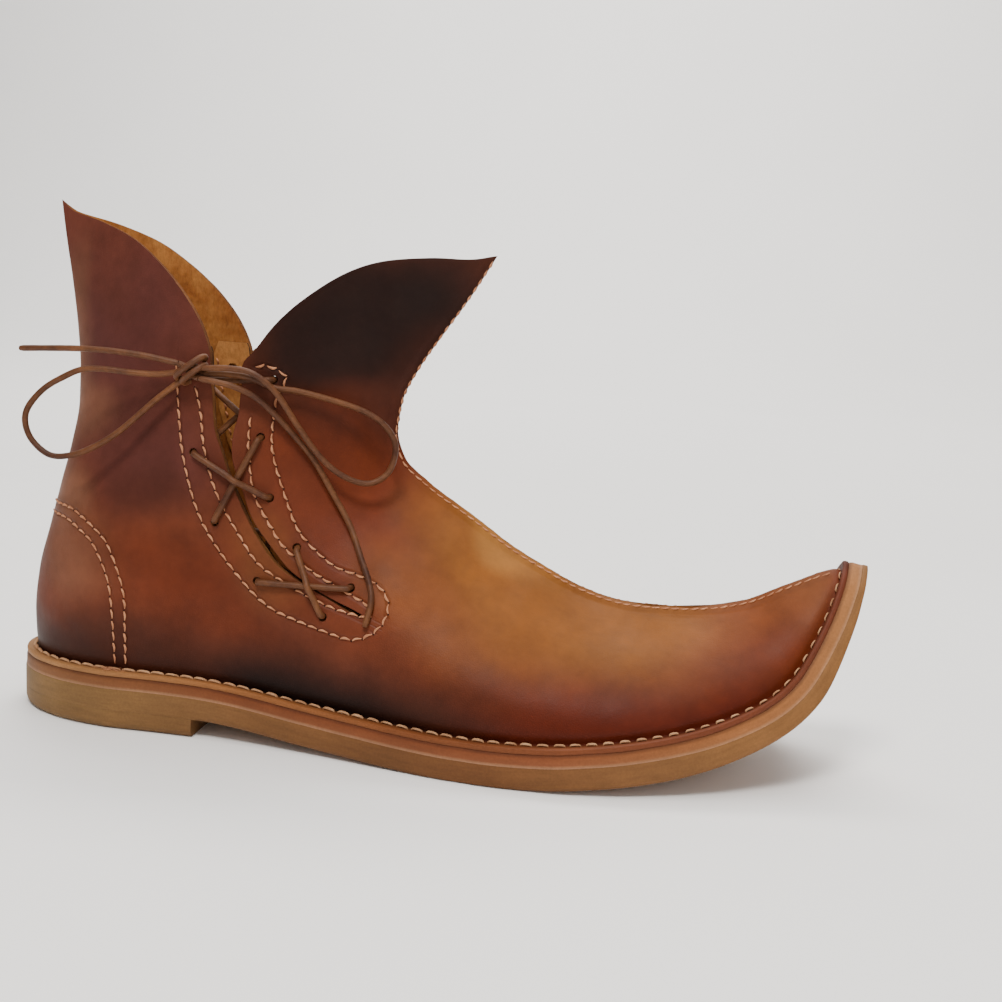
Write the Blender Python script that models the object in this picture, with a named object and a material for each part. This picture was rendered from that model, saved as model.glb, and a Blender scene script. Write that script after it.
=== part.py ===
"""Poulaine pointed shoe: a stitched-down leather shoe with an upturned toe and two pointed fins.

The right shoe of a pair. +X points to the toe, -Y to the outer (lateral) side of the foot, +Z up.
The origin is the middle of the heel's flat ground face. Lengths below are millimetres.
"""
import math

import bmesh
import bpy
import numpy as np

MM = 0.001

# Driving dimensions
HEEL_BACK_X = -42.0      # where the sole's arc length starts, behind the origin
HEEL_TOP_Z = 18.5        # top of the midsole over the heel
MIDSOLE = 4.2            # thickness
OUTSOLE = 7.2            # thickness
GAP = 0.3                # between neighbouring leathers
WALL = 2.0               # leather of the upper
FLANGE_THICK = 2.0       # edge of the upper, turned out on the midsole
BREAST_S = 77.0          # arc length of the heel's straight front
HEEL_BEVEL = 1.8         # worn lower edge of the heel lift
INSOLE_THICK = 1.8
INSOLE_CLEAR = 0.6         # between the insole's edge and the upper
FACING_OUTER = 2.35      # depth of the facing's two faces under the upper's outer face
FACING_INNER = 3.5
SEAM_HALF = 3.0          # raised seam down the centre front: half width, rise and side slope
SEAM_RISE = 0.9
SEAM_SLOPE = 0.7
HOLE_RADIUS = 2.2
LACE_RADIUS = 1.1
LACE_LIFT = 1.6          # lace's centre line over the leather it lies on
LACE_CROSS = 2.6         # extra lift of the strand that crosses over another
LACE_RAMP = 3.4          # distance from a crossing at which half of that lift is reached
BEND_NEAR = 0.75          # where the lace turns over a hole's edge, from the hole's middle
BEND_FAR = 2.0
TOP_H = 172.0            # height to which the upper is built before its collar is cut
COLUMNS = 26             # columns of the upper on each side, without the seam's
STATIONS = 44            # cross sections of each sole piece

# The sole's top along its own arc length s: slope in degrees
SLOPE = [
    # s, slope
    (0, 0.0), (55, 0.0), (85, -3.5), (104, -7.0), (122, -5.0), (145, -3.4), (168, -0.8), (190, 2.0),
    (205, 5.0), (228, 9.0), (245, 13.5), (262, 21.5), (273, 30.0), (283, 44.0), (291, 59.0), (303, 65.0),
    (318, 74.0), (334, 80.0),
]
# How far the upper's height lines lean back from the vertical, in degrees
LEAN = [
    # s, lean
    (0, 0), (190, 0), (205, 3), (228, 9), (250, 16.5), (270, 27), (290, 41), (305, 53), (318, 63), (334, 71),
]
# Half widths of the upper where it meets the sole
OUTLINE = [
    # s, lateral, medial
    (0, 28.5, 28.5), (45, 28.5, 28.5), (70, 29, 28), (96, 31, 27.5), (115, 33.2, 28), (133, 36, 30.5),
    (151, 39.5, 35), (169, 43, 40.5), (186, 45, 44.5), (202, 45.3, 46.8), (218, 44, 46.5), (236, 40.5, 43),
    (250, 36.5, 38.5), (262, 32, 34), (273, 27.5, 29), (283, 22.5, 24), (291, 18.5, 19.5), (300, 14.2, 15),
    (310, 9.5, 10), (318, 6, 6.3), (334, 4, 4),
]
# Centre line of the toe ridge and of the front fin's edge
FRONT = [
    # height over the sole, s
    (0, 322.6), (3.2, 322.2), (8.2, 317.3), (16.3, 306.2), (22.8, 294.1), (28.3, 280.5), (31.4, 266),
    (33.7, 251.3), (35.8, 238.3), (38.2, 225.4), (45.7, 204.2), (55.9, 183.7), (68.1, 165.2), (77.2, 150.4),
    (85.4, 140.6), (95, 137.6), (105.6, 138.9), (116.6, 143.8), (130, 152.1), (142.3, 160.3), (156, 168.5),
    (175, 179),
]
# Centre line of the heel and of the rear fin's edge
BACK = [
    # height over the sole, s
    (0, 5.5), (16, 5), (32, 6.6), (48, 10.6), (63, 14.2), (78, 17.8), (93, 20), (104, 20), (118, 19),
    (136, 16.8), (150, 14.6), (163, 12.9), (175, 11.5),
]
# Width of the upper at each height, as a share of its width at the sole
GIRTH = [
    # height, share
    (0, 1.0), (8, 1.04), (20, 1.07), (40, 1.04), (60, 0.98), (85, 0.86), (110, 0.745), (140, 0.67),
    (175, 0.62),
]
# Rounding of the back: its length, its power and its bluntness (0.5 is an ellipse, 1 a sharp fold)
HEEL_ROUND = [
    # height, length, power, bluntness
    (0, 46, 2.0, 0.5), (60, 48, 2.0, 0.5), (100, 55, 1.8, 0.62), (130, 60, 1.5, 0.8), (160, 63, 1.3, 0.95),
    (175, 63, 1.3, 0.95),
]
# Distance from the ridge at which the upper reaches its full width
PROW = [
    # s, reach
    (0, 62), (120, 60), (150, 53), (180, 47), (200, 43), (228, 36), (250, 32), (275, 27), (290, 22),
    (300, 17), (310, 11), (318, 6), (334, 4),
]
FIN_REACH = 60.0         # the same distance up the shaft
PROW_POWER = 1.8
RIDGE_DEPTH = 1.35        # the inner face stops short of the ridge by this many times its depth
# Width of the upper's turned-out edge
OUTSOLE_TOE = [
    # s, share of the outsole's thickness
    (0, 1.0), (235, 1.0), (262, 0.86), (285, 0.68), (308, 0.38), (327, 0.22), (334, 0.22),
]
FLANGE = [
    # s, width
    (0, 4.4), (90, 4.4), (150, 5.4), (200, 5.6), (250, 4.8), (334, 4.2),
]
# Collar line in the side view, from the rear fin's tip to the notch
COLLAR_REAR = [
    # x, z
    (-29.5, 182.3), (-22.8, 177.7), (-10.7, 174.5), (2.8, 169.1), (13.4, 161.7), (21.4, 154.3),
    (27.6, 146.8), (31.7, 140.0), (34.6, 132.5),
]
# Edges of the laced slit in the side view, from the notch down to its lower end
SLIT_REAR = [
    # x, z
    (35.3, 126.0), (35.7, 120.7), (37.3, 107.4), (41.0, 97.9), (44.6, 89.4), (53.2, 73.9), (62.7, 62.6),
    (75.2, 55.6), (92.5, 48.3),
]
SLIT_FRONT = [
    # x, z
    (93.8, 49.4), (81.8, 54.3), (69.2, 61.3), (62.3, 67.9), (54.2, 77.5), (49.2, 88.4), (45.5, 97.0),
    (45.1, 105.2), (46.5, 112.3), (46.6, 121.0), (46.4, 129.0),
]
# Collar line from the notch to the front fin's tip
COLLAR_FRONT = [
    # x, z
    (50.3, 133.9), (56.8, 142.7), (65.0, 150.8), (78.2, 160.1), (91.1, 165.4), (107.0, 167.6),
    (119.5, 167.9), (127.5, 169.5),
]
# Facing inside each slit, in the side view
FACING = [
    # x, z
    (20.5, 127.0), (22.8, 110), (25.5, 97), (31.3, 80), (38, 67.5), (49, 55), (60, 46.7), (71, 43),
    (83, 40), (92, 38.8), (99.5, 41.8), (104, 48), (103.8, 55), (99.5, 60), (92, 63), (84, 65.3), (78, 69),
    (72.5, 74), (67.5, 83), (62.5, 93), (60, 99.5), (59.2, 106), (60, 117.5), (61.0, 128.5), (54, 131.5),
    (48, 150), (30, 150),
]
FACING_S = (58.0, 150.0)     # patch of the upper's surface that the facing is cut from
FACING_H = (24.0, 116.0)
# Lace holes in the side view: R behind the slit, F in front of it, numbered from the top
HOLES = {
    "R1": (28.5, 124.3), "R2": (31.0, 98.5), "R3": (40.4, 75.7), "R4": (56.6, 57.2), "R5": (80.5, 47.4),
    "F1": (56.9, 124.3), "F2": (53.7, 104.9), "F3": (58.4, 84.8), "F4": (69.0, 69.0), "F5": (88.8, 57.2),
}
# The lace's way through the holes: it dips in at the first hole and comes out at the last
LACE_ORDER = ["R1", "F2", "R3", "F4", "R5", "F5", "R4", "F3", "R2", "F1"]
# Strands that lie over another one, and the one that they cross
LACE_OVER = {("F3", "R2"): ("F2", "R3"), ("F4", "R5"): ("F5", "R4"), ("R2", "F1"): ("R1", "F2"),
             ("R4", "F3"): ("R3", "F4")}
# Where the strand from F1 ends beside the knot: x, z and its extra offset from the leather
LACE_END = (35.6, 123.2, 0.6)
# The bow's knot, beside the slit's top
KNOT = np.array((30.0, 26.9, 126.3))
KNOT_RADII = (4.2, 3.3, 3.6)
KNOT_GAP = 0.65          # from the knot to the flat end of each cord
# The bow's loops and ends on the lateral side, as x, distance from the centre plane, z
BOW_LATERAL = {
    "end_rear": [
        (25.4, 27.4, 128.6), (17.2, 28.0, 129.9), (10.7, 28.5, 130.7), (0.6, 29.0, 131.4),
        (-9.6, 29.0, 131.4), (-20.0, 28.5, 130.9), (-30.4, 28.0, 130.3),
    ],
    "loop_rear": [
        (25.0, 27.2, 125.3), (18.0, 27.2, 124.3), (9.5, 28.2, 124.4), (0.6, 29.0, 125.0),
        (-7.3, 29.5, 124.5), (-13.9, 30.0, 121.5), (-20.8, 30.0, 117.2), (-26.3, 30.0, 111.0),
        (-27.7, 30.0, 105.7), (-25.7, 30.0, 100.0), (-20.9, 30.0, 95.6), (-16.0, 30.0, 94.3),
        (-9.3, 29.5, 95.6), (-2.6, 29.0, 98.7), (4.0, 28.5, 103.0), (10.6, 28.0, 108.7),
        (17.1, 27.5, 114.8), (22.0, 26.8, 119.0), (26.6, 26.6, 122.4),
    ],
    "loop_front": [
        (34.9, 28.2, 127.5), (45.7, 29.0, 127.8), (53.1, 29.0, 126.3), (60.0, 27.3, 120.5),
        (66.7, 24.8, 110.1), (73.2, 23.5, 101.2), (79.7, 22.5, 95.1), (86.7, 21.0, 91.7),
        (92.2, 19.0, 91.5), (96.8, 17.0, 94.9), (98.6, 15.5, 100.7), (98.0, 15.0, 106.2),
        (93.5, 15.5, 111.8), (86.3, 16.5, 115.7), (75.9, 19.0, 118.8), (65.6, 22.2, 121.2),
        (58.5, 25.0, 122.0), (50.4, 26.2, 125.0), (42.0, 26.3, 125.6), (35.1, 26.0, 125.1),
    ],
    "end_front": [
        (34.2, 28.6, 123.4), (39.5, 28.4, 123.0), (45.4, 28.0, 121.8), (52.4, 26.2, 118.6),
        (59.3, 24.5, 112.6), (66.2, 22.6, 105.0), (72.0, 21.3, 98.0), (79.0, 21.3, 87.0),
        (85.9, 23.6, 76.8), (91.0, 28.0, 67.4), (95.1, 31.7, 59.7), (96.7, 34.6, 54.0),
        (95.7, 38.0, 46.1),
    ],
}
# The same on the medial side, where the bow hangs closer to the knot
BOW_MEDIAL = {
    "end_rear": [
        (25.4, 27.4, 128.6), (17.0, 28.6, 129.3), (9.0, 29.5, 127.2), (2.0, 28.5, 122.0),
        (-3.0, 27.0, 115.0), (-6.0, 26.0, 107.0), (-7.5, 26.0, 99.5),
    ],
    "loop_rear": [
        (25.0, 27.2, 125.3), (18.0, 28.0, 122.5), (10.0, 29.0, 116.5), (2.0, 28.5, 109.0),
        (-3.0, 27.5, 101.0), (-3.5, 27.3, 93.5), (1.0, 28.2, 89.0), (7.0, 29.5, 91.0), (12.5, 29.8, 98.0),
        (17.0, 29.3, 106.0), (21.0, 28.3, 114.0), (26.6, 26.6, 122.4),
    ],
    "loop_front": [
        (34.9, 28.2, 127.5), (42.0, 29.2, 127.8), (50.5, 29.6, 124.8), (58.0, 27.0, 115.5),
        (65.0, 25.0, 106.5), (71.0, 24.0, 98.5), (77.0, 23.4, 93.8), (83.0, 22.3, 94.5),
        (85.5, 21.2, 100.0), (81.5, 21.0, 106.5), (74.0, 21.6, 111.5), (66.0, 22.8, 116.0),
        (58.0, 24.4, 120.5), (50.4, 26.2, 124.6), (42.0, 26.3, 125.6), (35.1, 26.0, 125.1),
    ],
    "end_front": [
        (34.2, 28.6, 123.4), (41.0, 28.6, 120.8), (48.5, 28.0, 115.0), (57.0, 27.3, 107.0),
        (63.0, 27.3, 98.5), (66.5, 28.2, 89.5), (67.5, 29.8, 80.5),
    ],
}
CORD_STEP = 5.5          # distance between the points of a cord's tube
LATERAL = -1
MEDIAL = 1
SIDES = {"lateral": LATERAL, "medial": MEDIAL}

# Colours (linear), roughness
UPPER_LEATHER = ((0.155, 0.046, 0.016), 0.5)
SOLE_LEATHER = ((0.330, 0.190, 0.075), 0.7)
MIDSOLE_LEATHER = ((0.320, 0.120, 0.050), 0.65)
SUEDE = ((0.420, 0.210, 0.065), 0.9)
LACE_LEATHER = ((0.230, 0.105, 0.048), 0.6)


# Tables and curves

def table(rows, column, at):
    """Smooth value of one column of a table, with no overshoot between its rows."""
    xs = np.array([row[0] for row in rows], float)
    ys = np.array([row[column] for row in rows], float)
    at = np.asarray(at, float)
    steps = np.diff(ys) / np.diff(xs)
    slopes = np.empty(len(xs))
    slopes[0], slopes[-1] = steps[0], steps[-1]
    for i in range(1, len(xs) - 1):
        turns = steps[i - 1] * steps[i] <= 0
        slopes[i] = 0.0 if turns else 2 * steps[i - 1] * steps[i] / (steps[i - 1] + steps[i])
    i = np.clip(np.searchsorted(xs, at) - 1, 0, len(xs) - 2)
    width = xs[i + 1] - xs[i]
    t = np.clip((at - xs[i]) / width, 0, 1)
    ends = ys[i] * (2 * t**3 - 3 * t**2 + 1) + ys[i + 1] * (3 * t**2 - 2 * t**3)
    return ends + width * (slopes[i] * (t**3 - 2 * t**2 + t) + slopes[i + 1] * (t**3 - t**2))


def fade(low, high, at):
    """0 below low, 1 above high, smooth between them."""
    t = np.clip((at - low) / (high - low), 0, 1)
    return t * t * (3 - 2 * t)


def smooth_route(points, step):
    """Points about one step apart on a smooth curve through the route's points."""
    p = np.array(points, float)
    p = np.vstack([2 * p[0] - p[1], p, 2 * p[-1] - p[-2]])
    dense = []
    for i in range(1, len(p) - 2):
        for t in np.linspace(0, 1, 12, endpoint=False):
            dense.append(0.5 * (
                2 * p[i] + (p[i + 1] - p[i - 1]) * t
                + (2 * p[i - 1] - 5 * p[i] + 4 * p[i + 1] - p[i + 2]) * t**2
                + (3 * p[i] - p[i - 1] - 3 * p[i + 1] + p[i + 2]) * t**3
            ))
    dense = np.array(dense + [p[-2]])
    along = np.concatenate([[0], np.cumsum(np.linalg.norm(np.diff(dense, axis=0), axis=1))])
    marks = np.linspace(0, along[-1], max(int(round(along[-1] / step)), 2) + 1)
    return np.stack([np.interp(marks, along, dense[:, k]) for k in range(3)], axis=1)


# The sole's side profile, walked along its arc length in short steps
ARC_END = 334.0
FRONT_TOP = 175.0
FRONT_STEPS = 700
_arc = np.linspace(0, ARC_END, 1337)
_slope = np.radians(table(SLOPE, 1, _arc))
_lean = np.radians(table(LEAN, 1, _arc))
_middle = (_slope[1:] + _slope[:-1]) / 2
_arc_x = HEEL_BACK_X + np.concatenate([[0], np.cumsum(np.cos(_middle) * np.diff(_arc))])
_arc_z = HEEL_TOP_Z + np.concatenate([[0], np.cumsum(np.sin(_middle) * np.diff(_arc))])


def raised(s, y, height, angles):
    """Point at arc length s, side y, and height over the sole's top along the given angles."""
    angle = np.interp(s, _arc, angles)
    x = np.interp(s, _arc, _arc_x) - np.sin(angle) * height
    z = np.interp(s, _arc, _arc_z) + np.cos(angle) * height
    return np.stack(np.broadcast_arrays(x, y, z), axis=-1)


def upper_point(s, y, height):
    return raised(s, y, height, _lean)


def sole_point(s, y, height):
    return raised(s, y, height, _slope)


# The last: half width of the upper everywhere

_front_h = np.linspace(0, FRONT_TOP, FRONT_STEPS + 1)
_front_line = upper_point(table(FRONT, 1, _front_h), 0.0, _front_h)[:, [0, 2]]


def ridge_distance(s, height):
    """Distance in the side view from a point of the upper to the front line."""
    spots = upper_point(s, 0.0, height)[..., [0, 2]]
    flat = spots.reshape(-1, 2)
    apart = np.linalg.norm(flat[:, None, :] - _front_line[None], axis=2).min(axis=1)
    return apart.reshape(spots.shape[:-1])


def half_width(s, height, side, depth=0.0):
    """Half width of the upper at s and height, at a depth under its outer face."""
    s, height = np.broadcast_arrays(np.asarray(s, float), np.asarray(height, float))
    lateral = table(OUTLINE, 1, s)
    medial = table(OUTLINE, 2, s)
    foot = lateral if side == LATERAL else medial + (lateral - medial) * fade(15, 80, height)
    body = foot * table(GIRTH, 1, height) - depth
    ridge_depth = RIDGE_DEPTH * depth
    reach = table(PROW, 1, s)
    reach = reach + (FIN_REACH - reach) * fade(60, 100, height) - ridge_depth
    to_ridge = np.clip((ridge_distance(s, height) - ridge_depth) / reach, 0, 1)
    front = 1 - (1 - to_ridge) ** PROW_POWER
    length = table(HEEL_ROUND, 1, height) - depth
    to_back = np.clip((s - table(BACK, 1, height) - depth) / length, 0, 1)
    rounded = 1 - (1 - to_back) ** table(HEEL_ROUND, 2, height)
    back = np.maximum(rounded, 0) ** table(HEEL_ROUND, 3, height)
    return body * front * back


def front_s(height, distance):
    """Arc length at which a height line comes within a distance of the front line."""
    low, high = table(BACK, 1, height) + 20, float(table(FRONT, 1, height))
    if distance <= 0:
        return high
    for _ in range(30):
        middle = (low + high) / 2
        if ridge_distance(middle, height) > distance:
            low = middle
        else:
            high = middle
    return high


def seam_s(height, distance):
    """Arc length on a height line at a distance from the front line along the leather."""
    near = front_s(height, 1.0)
    flank = float(half_width(near, height, LATERAL))
    return front_s(height, distance / math.sqrt(1 + flank**2))


def spread(count):
    """Values from 0 to 1, closer together at both ends."""
    return (1 - np.cos(np.linspace(0, math.pi, count))) / 2


def skin_y(x, z, side, offset=0.0):
    """Side coordinate of the shaft's outer face at x, z, moved outwards by an offset."""
    s = np.interp(x, _arc_x, _arc)
    height = z - np.interp(x, _arc_x, _arc_z)
    width = float(half_width(s, height, side))
    along = float(half_width(s + 1, height, side)) - width
    up = float(half_width(s, height + 1, side)) - width
    return side * (width + offset * math.sqrt(1 + along**2 + up**2))


# The sole's outline: the upper's foot line moved outwards

def foot_line(side):
    s = table(BACK, 1, 0) + (table(FRONT, 1, 0) - table(BACK, 1, 0)) * spread(241)
    return np.stack([s, half_width(s, 0.0, side)], axis=1)


def outward(line):
    """Unit normals of a foot line, pointing away from the shoe, straight back and ahead at its ends."""
    run = np.gradient(line, axis=0)
    normals = np.stack([-run[:, 1], run[:, 0]], axis=1)
    normals /= np.linalg.norm(normals, axis=1)[:, None]
    normals[0] = (-1, 0)
    normals[-1] = (1, 0)
    return normals


def sole_edge(side, inset=0.0):
    """The sole's outline on one side, as rows of arc length and half width."""
    line = foot_line(side)
    return line + outward(line) * (table(FLANGE, 1, line[:, 0]) - inset)[:, None]


def sole_ring(s_range, inset, height, floor=None):
    """One closed level of a sole piece: for each station its lateral and medial point."""
    ring = []
    edges = {side: sole_edge(side, inset) for side in (LATERAL, MEDIAL)}
    for s, level in zip(s_range, np.broadcast_to(height, len(s_range))):
        pair = []
        for side in (LATERAL, MEDIAL):
            width = float(np.interp(s, edges[side][:, 0], edges[side][:, 1]))
            point = sole_point(s, side * width, level)
            if floor is not None:
                point[2] = max(point[2], floor)
            pair.append(point)
        ring.append(pair)
    return ring


def station_range(inset=0.0, s_end=None):
    edge = sole_edge(LATERAL, inset)
    low, high = edge[0, 0], edge[-1, 0]
    if s_end is None:
        return low + (high - low) * spread(STATIONS)
    return low + (s_end - low) * (1 - np.cos(np.linspace(0, math.pi / 2, STATIONS // 2)))


# Meshes and objects

def material(name, finish):
    colour, roughness = finish
    made = bpy.data.materials.new(name)
    made.use_nodes = True
    shader = made.node_tree.nodes["Principled BSDF"]
    shader.inputs["Base Color"].default_value = (*colour, 1.0)
    shader.inputs["Roughness"].default_value = roughness
    shader.inputs["Metallic"].default_value = 0.0
    made.diffuse_color = (*colour, 1.0)
    return made


def add_object(name, points, faces, finish, sharp_degrees=35.0):
    """One closed mesh object from points in millimetres."""
    mesh = bpy.data.meshes.new(name)
    mesh.from_pydata([tuple(c * MM for c in p) for p in points], [], faces)
    work = bmesh.new()
    work.from_mesh(mesh)
    bmesh.ops.remove_doubles(work, verts=work.verts, dist=1e-6)
    bmesh.ops.dissolve_degenerate(work, dist=1e-7, edges=work.edges)
    bmesh.ops.recalc_face_normals(work, faces=work.faces)
    if work.calc_volume(signed=True) < 0:
        bmesh.ops.reverse_faces(work, faces=work.faces)
    work.to_mesh(mesh)
    work.free()
    made = bpy.data.objects.new(name, mesh)
    bpy.context.scene.collection.objects.link(made)
    if finish is not None:
        mesh.materials.append(material(name, finish))
    mesh.shade_smooth()
    mesh.set_sharp_from_angle(angle=math.radians(sharp_degrees))
    return made


def stack(name, rings, finish):
    """A solid from levels of paired points: a bottom, sides all round and a top."""
    count = len(rings[0])
    points = [p for ring in rings for pair in ring for p in pair]

    def at(level, station, hand):
        return (level * count + station) * 2 + hand

    faces = []
    for station in range(count - 1):
        for level in (0, len(rings) - 1):
            faces.append([at(level, station, 0), at(level, station + 1, 0),
                          at(level, station + 1, 1), at(level, station, 1)])
        for level in range(len(rings) - 1):
            for hand in (0, 1):
                faces.append([at(level, station, hand), at(level, station + 1, hand),
                              at(level + 1, station + 1, hand), at(level + 1, station, hand)])
    for station in (0, count - 1):
        for level in range(len(rings) - 1):
            faces.append([at(level, station, 0), at(level, station, 1),
                          at(level + 1, station, 1), at(level + 1, station, 0)])
    return add_object(name, points, faces, finish)


def prism(name, outlines, y_low, y_high):
    """A hidden cutter: side-view outlines drawn through from y_low to y_high."""
    mesh = bpy.data.meshes.new(name)
    work = bmesh.new()
    for outline in outlines:
        near = [work.verts.new((x * MM, y_low * MM, z * MM)) for x, z in outline]
        face = work.faces.new(near)
        drawn = bmesh.ops.extrude_face_region(work, geom=[face])
        moved = [v for v in drawn["geom"] if isinstance(v, bmesh.types.BMVert)]
        bmesh.ops.translate(work, verts=moved, vec=(0, (y_high - y_low) * MM, 0))
    bmesh.ops.recalc_face_normals(work, faces=work.faces)
    work.to_mesh(mesh)
    work.free()
    made = bpy.data.objects.new(name, mesh)
    bpy.context.scene.collection.objects.link(made)
    made.hide_render = True
    made.display_type = "WIRE"
    return made


def cut(target, cutter, operation="DIFFERENCE"):
    """Add a Boolean step with a cutter to the target."""
    step = target.modifiers.new(operation.title() + " " + cutter.name, "BOOLEAN")
    step.operation = operation
    step.solver = "EXACT"
    step.object = cutter


# Sole pieces

def make_outsole():
    stations = station_range()
    top = sole_ring(stations, 0.0, -MIDSOLE - GAP)
    thickness = OUTSOLE * table(OUTSOLE_TOE, 1, stations)
    bottom = sole_ring(stations, 0.0, -MIDSOLE - GAP - thickness, floor=0.0)
    return stack("outsole", [bottom, top], SOLE_LEATHER)


def make_heel_lift():
    lift_top = -MIDSOLE - OUTSOLE - 2 * GAP
    full = station_range(0.0, BREAST_S)
    narrow = station_range(HEEL_BEVEL, BREAST_S)
    top = sole_ring(full, 0.0, lift_top)
    rim = sole_ring(full, 0.0, lift_top)
    ground = sole_ring(narrow, HEEL_BEVEL, lift_top)
    for ring, level in ((rim, HEEL_BEVEL), (ground, 0.0)):
        for pair in ring:
            for point in pair:
                point[2] = level
    return stack("heel_lift", [ground, rim, top], SOLE_LEATHER)


def make_midsole():
    stations = station_range(GAP)
    top = sole_ring(stations, GAP, 0.0)
    bottom = sole_ring(stations, GAP, -MIDSOLE)
    return stack("midsole", [bottom, top], MIDSOLE_LEATHER)


def make_insole():
    clear = WALL + INSOLE_CLEAR
    start = float(table(BACK, 1, 0)) + clear
    end = front_s(0.0, 3 * clear)
    rings = []
    for height in (GAP, GAP + INSOLE_THICK):
        ring = []
        for s in start + (end - start) * spread(STATIONS - 8):
            widths = [float(half_width(s, 0.0, side, clear)) for side in (LATERAL, MEDIAL)]
            ring.append([sole_point(s, -widths[0], height), sole_point(s, widths[1], height)])
        rings.append(ring)
    return stack("insole", rings, SUEDE)


# Upper

def wall_row(height, side, depth):
    """One height line of the upper on one side, from the heel to the ridge."""
    back = float(table(BACK, 1, height)) + depth
    front = front_s(height, RIDGE_DEPTH * depth)
    s = back + (front - back) * spread(COLUMNS + 2)
    return upper_point(s, side * half_width(s, height, side, depth), height)


def seam_row(height, side):
    """A height line of the outer face, with the raised seam's step along the ridge."""
    back = float(table(BACK, 1, height))
    foot = seam_s(height, SEAM_HALF + SEAM_SLOPE)
    edge = seam_s(height, SEAM_HALF)
    ridge = front_s(height, 0.0)
    s = np.append(back + (foot - back) * spread(COLUMNS), [edge, ridge])
    points = upper_point(s, side * half_width(s, height, side), height)
    i = int(np.clip(round(height / FRONT_TOP * FRONT_STEPS), 1, FRONT_STEPS - 1))
    along = _front_line[i + 1] - _front_line[i - 1]
    lift = np.array([along[1], -along[0]]) / np.linalg.norm(along)
    rise = SEAM_RISE * fade(2.5, 9, height)
    for k in (-2, -1):
        points[k, 0] += rise * lift[0]
        points[k, 2] += rise * lift[1]
    return points


def flange_row(height, side, inset):
    """The edge of the turned-out leather, column by column."""
    line = foot_line(side)
    edge = sole_edge(side, inset)
    foot = seam_s(0.0, SEAM_HALF + SEAM_SLOPE)
    back = float(table(BACK, 1, 0))
    s = np.append(back + (foot - back) * spread(COLUMNS), [seam_s(0.0, SEAM_HALF), front_s(0.0, 0.0)])
    moved = np.stack([np.interp(s, line[:, 0], edge[:, k]) for k in (0, 1)], axis=1)
    return sole_point(moved[:, 0], side * moved[:, 1], height)


def make_upper():
    outer_heights = [
        GAP + FLANGE_THICK, 5, 9, 14, 19, 24, 28, 31, 33.5, 37, 42, 48, 56, 65, 74, 83, 92, 103, 116,
        131, 146, 160, TOP_H,
    ]
    inner_heights = [GAP, 6, 14, 22, 28, 33, 39, 48, 58, 69, 80, 92, 106, 124, 148, TOP_H]
    rows = []
    for pair in (
        [flange_row(GAP, side, GAP) for side in (LATERAL, MEDIAL)],
        [flange_row(GAP + FLANGE_THICK, side, GAP) for side in (LATERAL, MEDIAL)],
    ):
        rows.append(pair)
    rows += [[seam_row(h, side) for side in (LATERAL, MEDIAL)] for h in outer_heights]
    rows += [[wall_row(h, side, WALL) for side in (LATERAL, MEDIAL)] for h in reversed(inner_heights)]
    columns = COLUMNS + 2
    loop = 2 * columns - 2
    points = []
    for lateral, medial in rows:
        points += list(lateral) + list(medial[-2:0:-1])
    faces = []
    for r in range(len(rows)):
        a, b = r * loop, (r + 1) % len(rows) * loop
        for c in range(loop):
            d = (c + 1) % loop
            faces.append([a + c, a + d, b + d, b + c])
    return add_object("upper", points, faces, UPPER_LEATHER, 30.0)


def collar_outline():
    line = COLLAR_REAR + SLIT_REAR + SLIT_FRONT + COLLAR_FRONT
    return [(-60, 186.0)] + line + [(160, 172), (160, 230), (-60, 230)]


def hole_outline(centre, sides=8):
    turns = [2 * math.pi * (k + 0.5) / sides for k in range(sides)]
    return [(centre[0] + HOLE_RADIUS * math.cos(t), centre[1] + HOLE_RADIUS * math.sin(t)) for t in turns]


def make_facing(name, side):
    """The leather inside a slit: a patch of the upper's surface, cut to its outline."""
    across, up = 11, 11
    points = []
    for depth in (FACING_OUTER, FACING_INNER):
        for height in np.linspace(*FACING_H, up):
            s = np.linspace(*FACING_S, across)
            points += list(upper_point(s, side * half_width(s, height, side, depth), height))

    def at(face, row, column):
        return (face * up + row) * across + column

    faces = []
    for row in range(up - 1):
        for column in range(across - 1):
            for face in (0, 1):
                faces.append([at(face, row, column), at(face, row, column + 1),
                              at(face, row + 1, column + 1), at(face, row + 1, column)])
    for row in range(up - 1):
        for column in (0, across - 1):
            faces.append([at(0, row, column), at(0, row + 1, column), at(1, row + 1, column),
                          at(1, row, column)])
    for column in range(across - 1):
        for row in (0, up - 1):
            faces.append([at(0, row, column), at(0, row, column + 1), at(1, row, column + 1),
                          at(1, row, column)])
    return add_object(name, points, faces, UPPER_LEATHER)


# Laces

def add_cord(name, points, step=CORD_STEP):
    """A round cord along the route's points: a curve with a bevel and filled ends."""
    curve = bpy.data.curves.new(name, "CURVE")
    curve.dimensions = "3D"
    curve.bevel_depth = LACE_RADIUS * MM
    curve.bevel_resolution = 2
    curve.use_fill_caps = True
    route = smooth_route(points, step) if step else np.array(points)
    spline = curve.splines.new("POLY")
    spline.points.add(len(route) - 1)
    for place, point in zip(spline.points, route):
        place.co = (point[0] * MM, point[1] * MM, point[2] * MM, 1.0)
    curve.materials.append(material(name, LACE_LEATHER))
    made = bpy.data.objects.new(name, curve)
    bpy.context.scene.collection.objects.link(made)
    return made


def lace_spot(x, z, side, offset):
    return (x, skin_y(x, z, side, offset), z)


def crossing(start, end, other_start, other_end):
    """Share of the way from start to end at which it crosses the other strand."""
    run = np.array(end) - start
    other = np.array(other_end) - other_start
    apart = np.array(other_start) - start
    return (apart[0] * other[1] - apart[1] * other[0]) / (run[0] * other[1] - run[1] * other[0])


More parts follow.
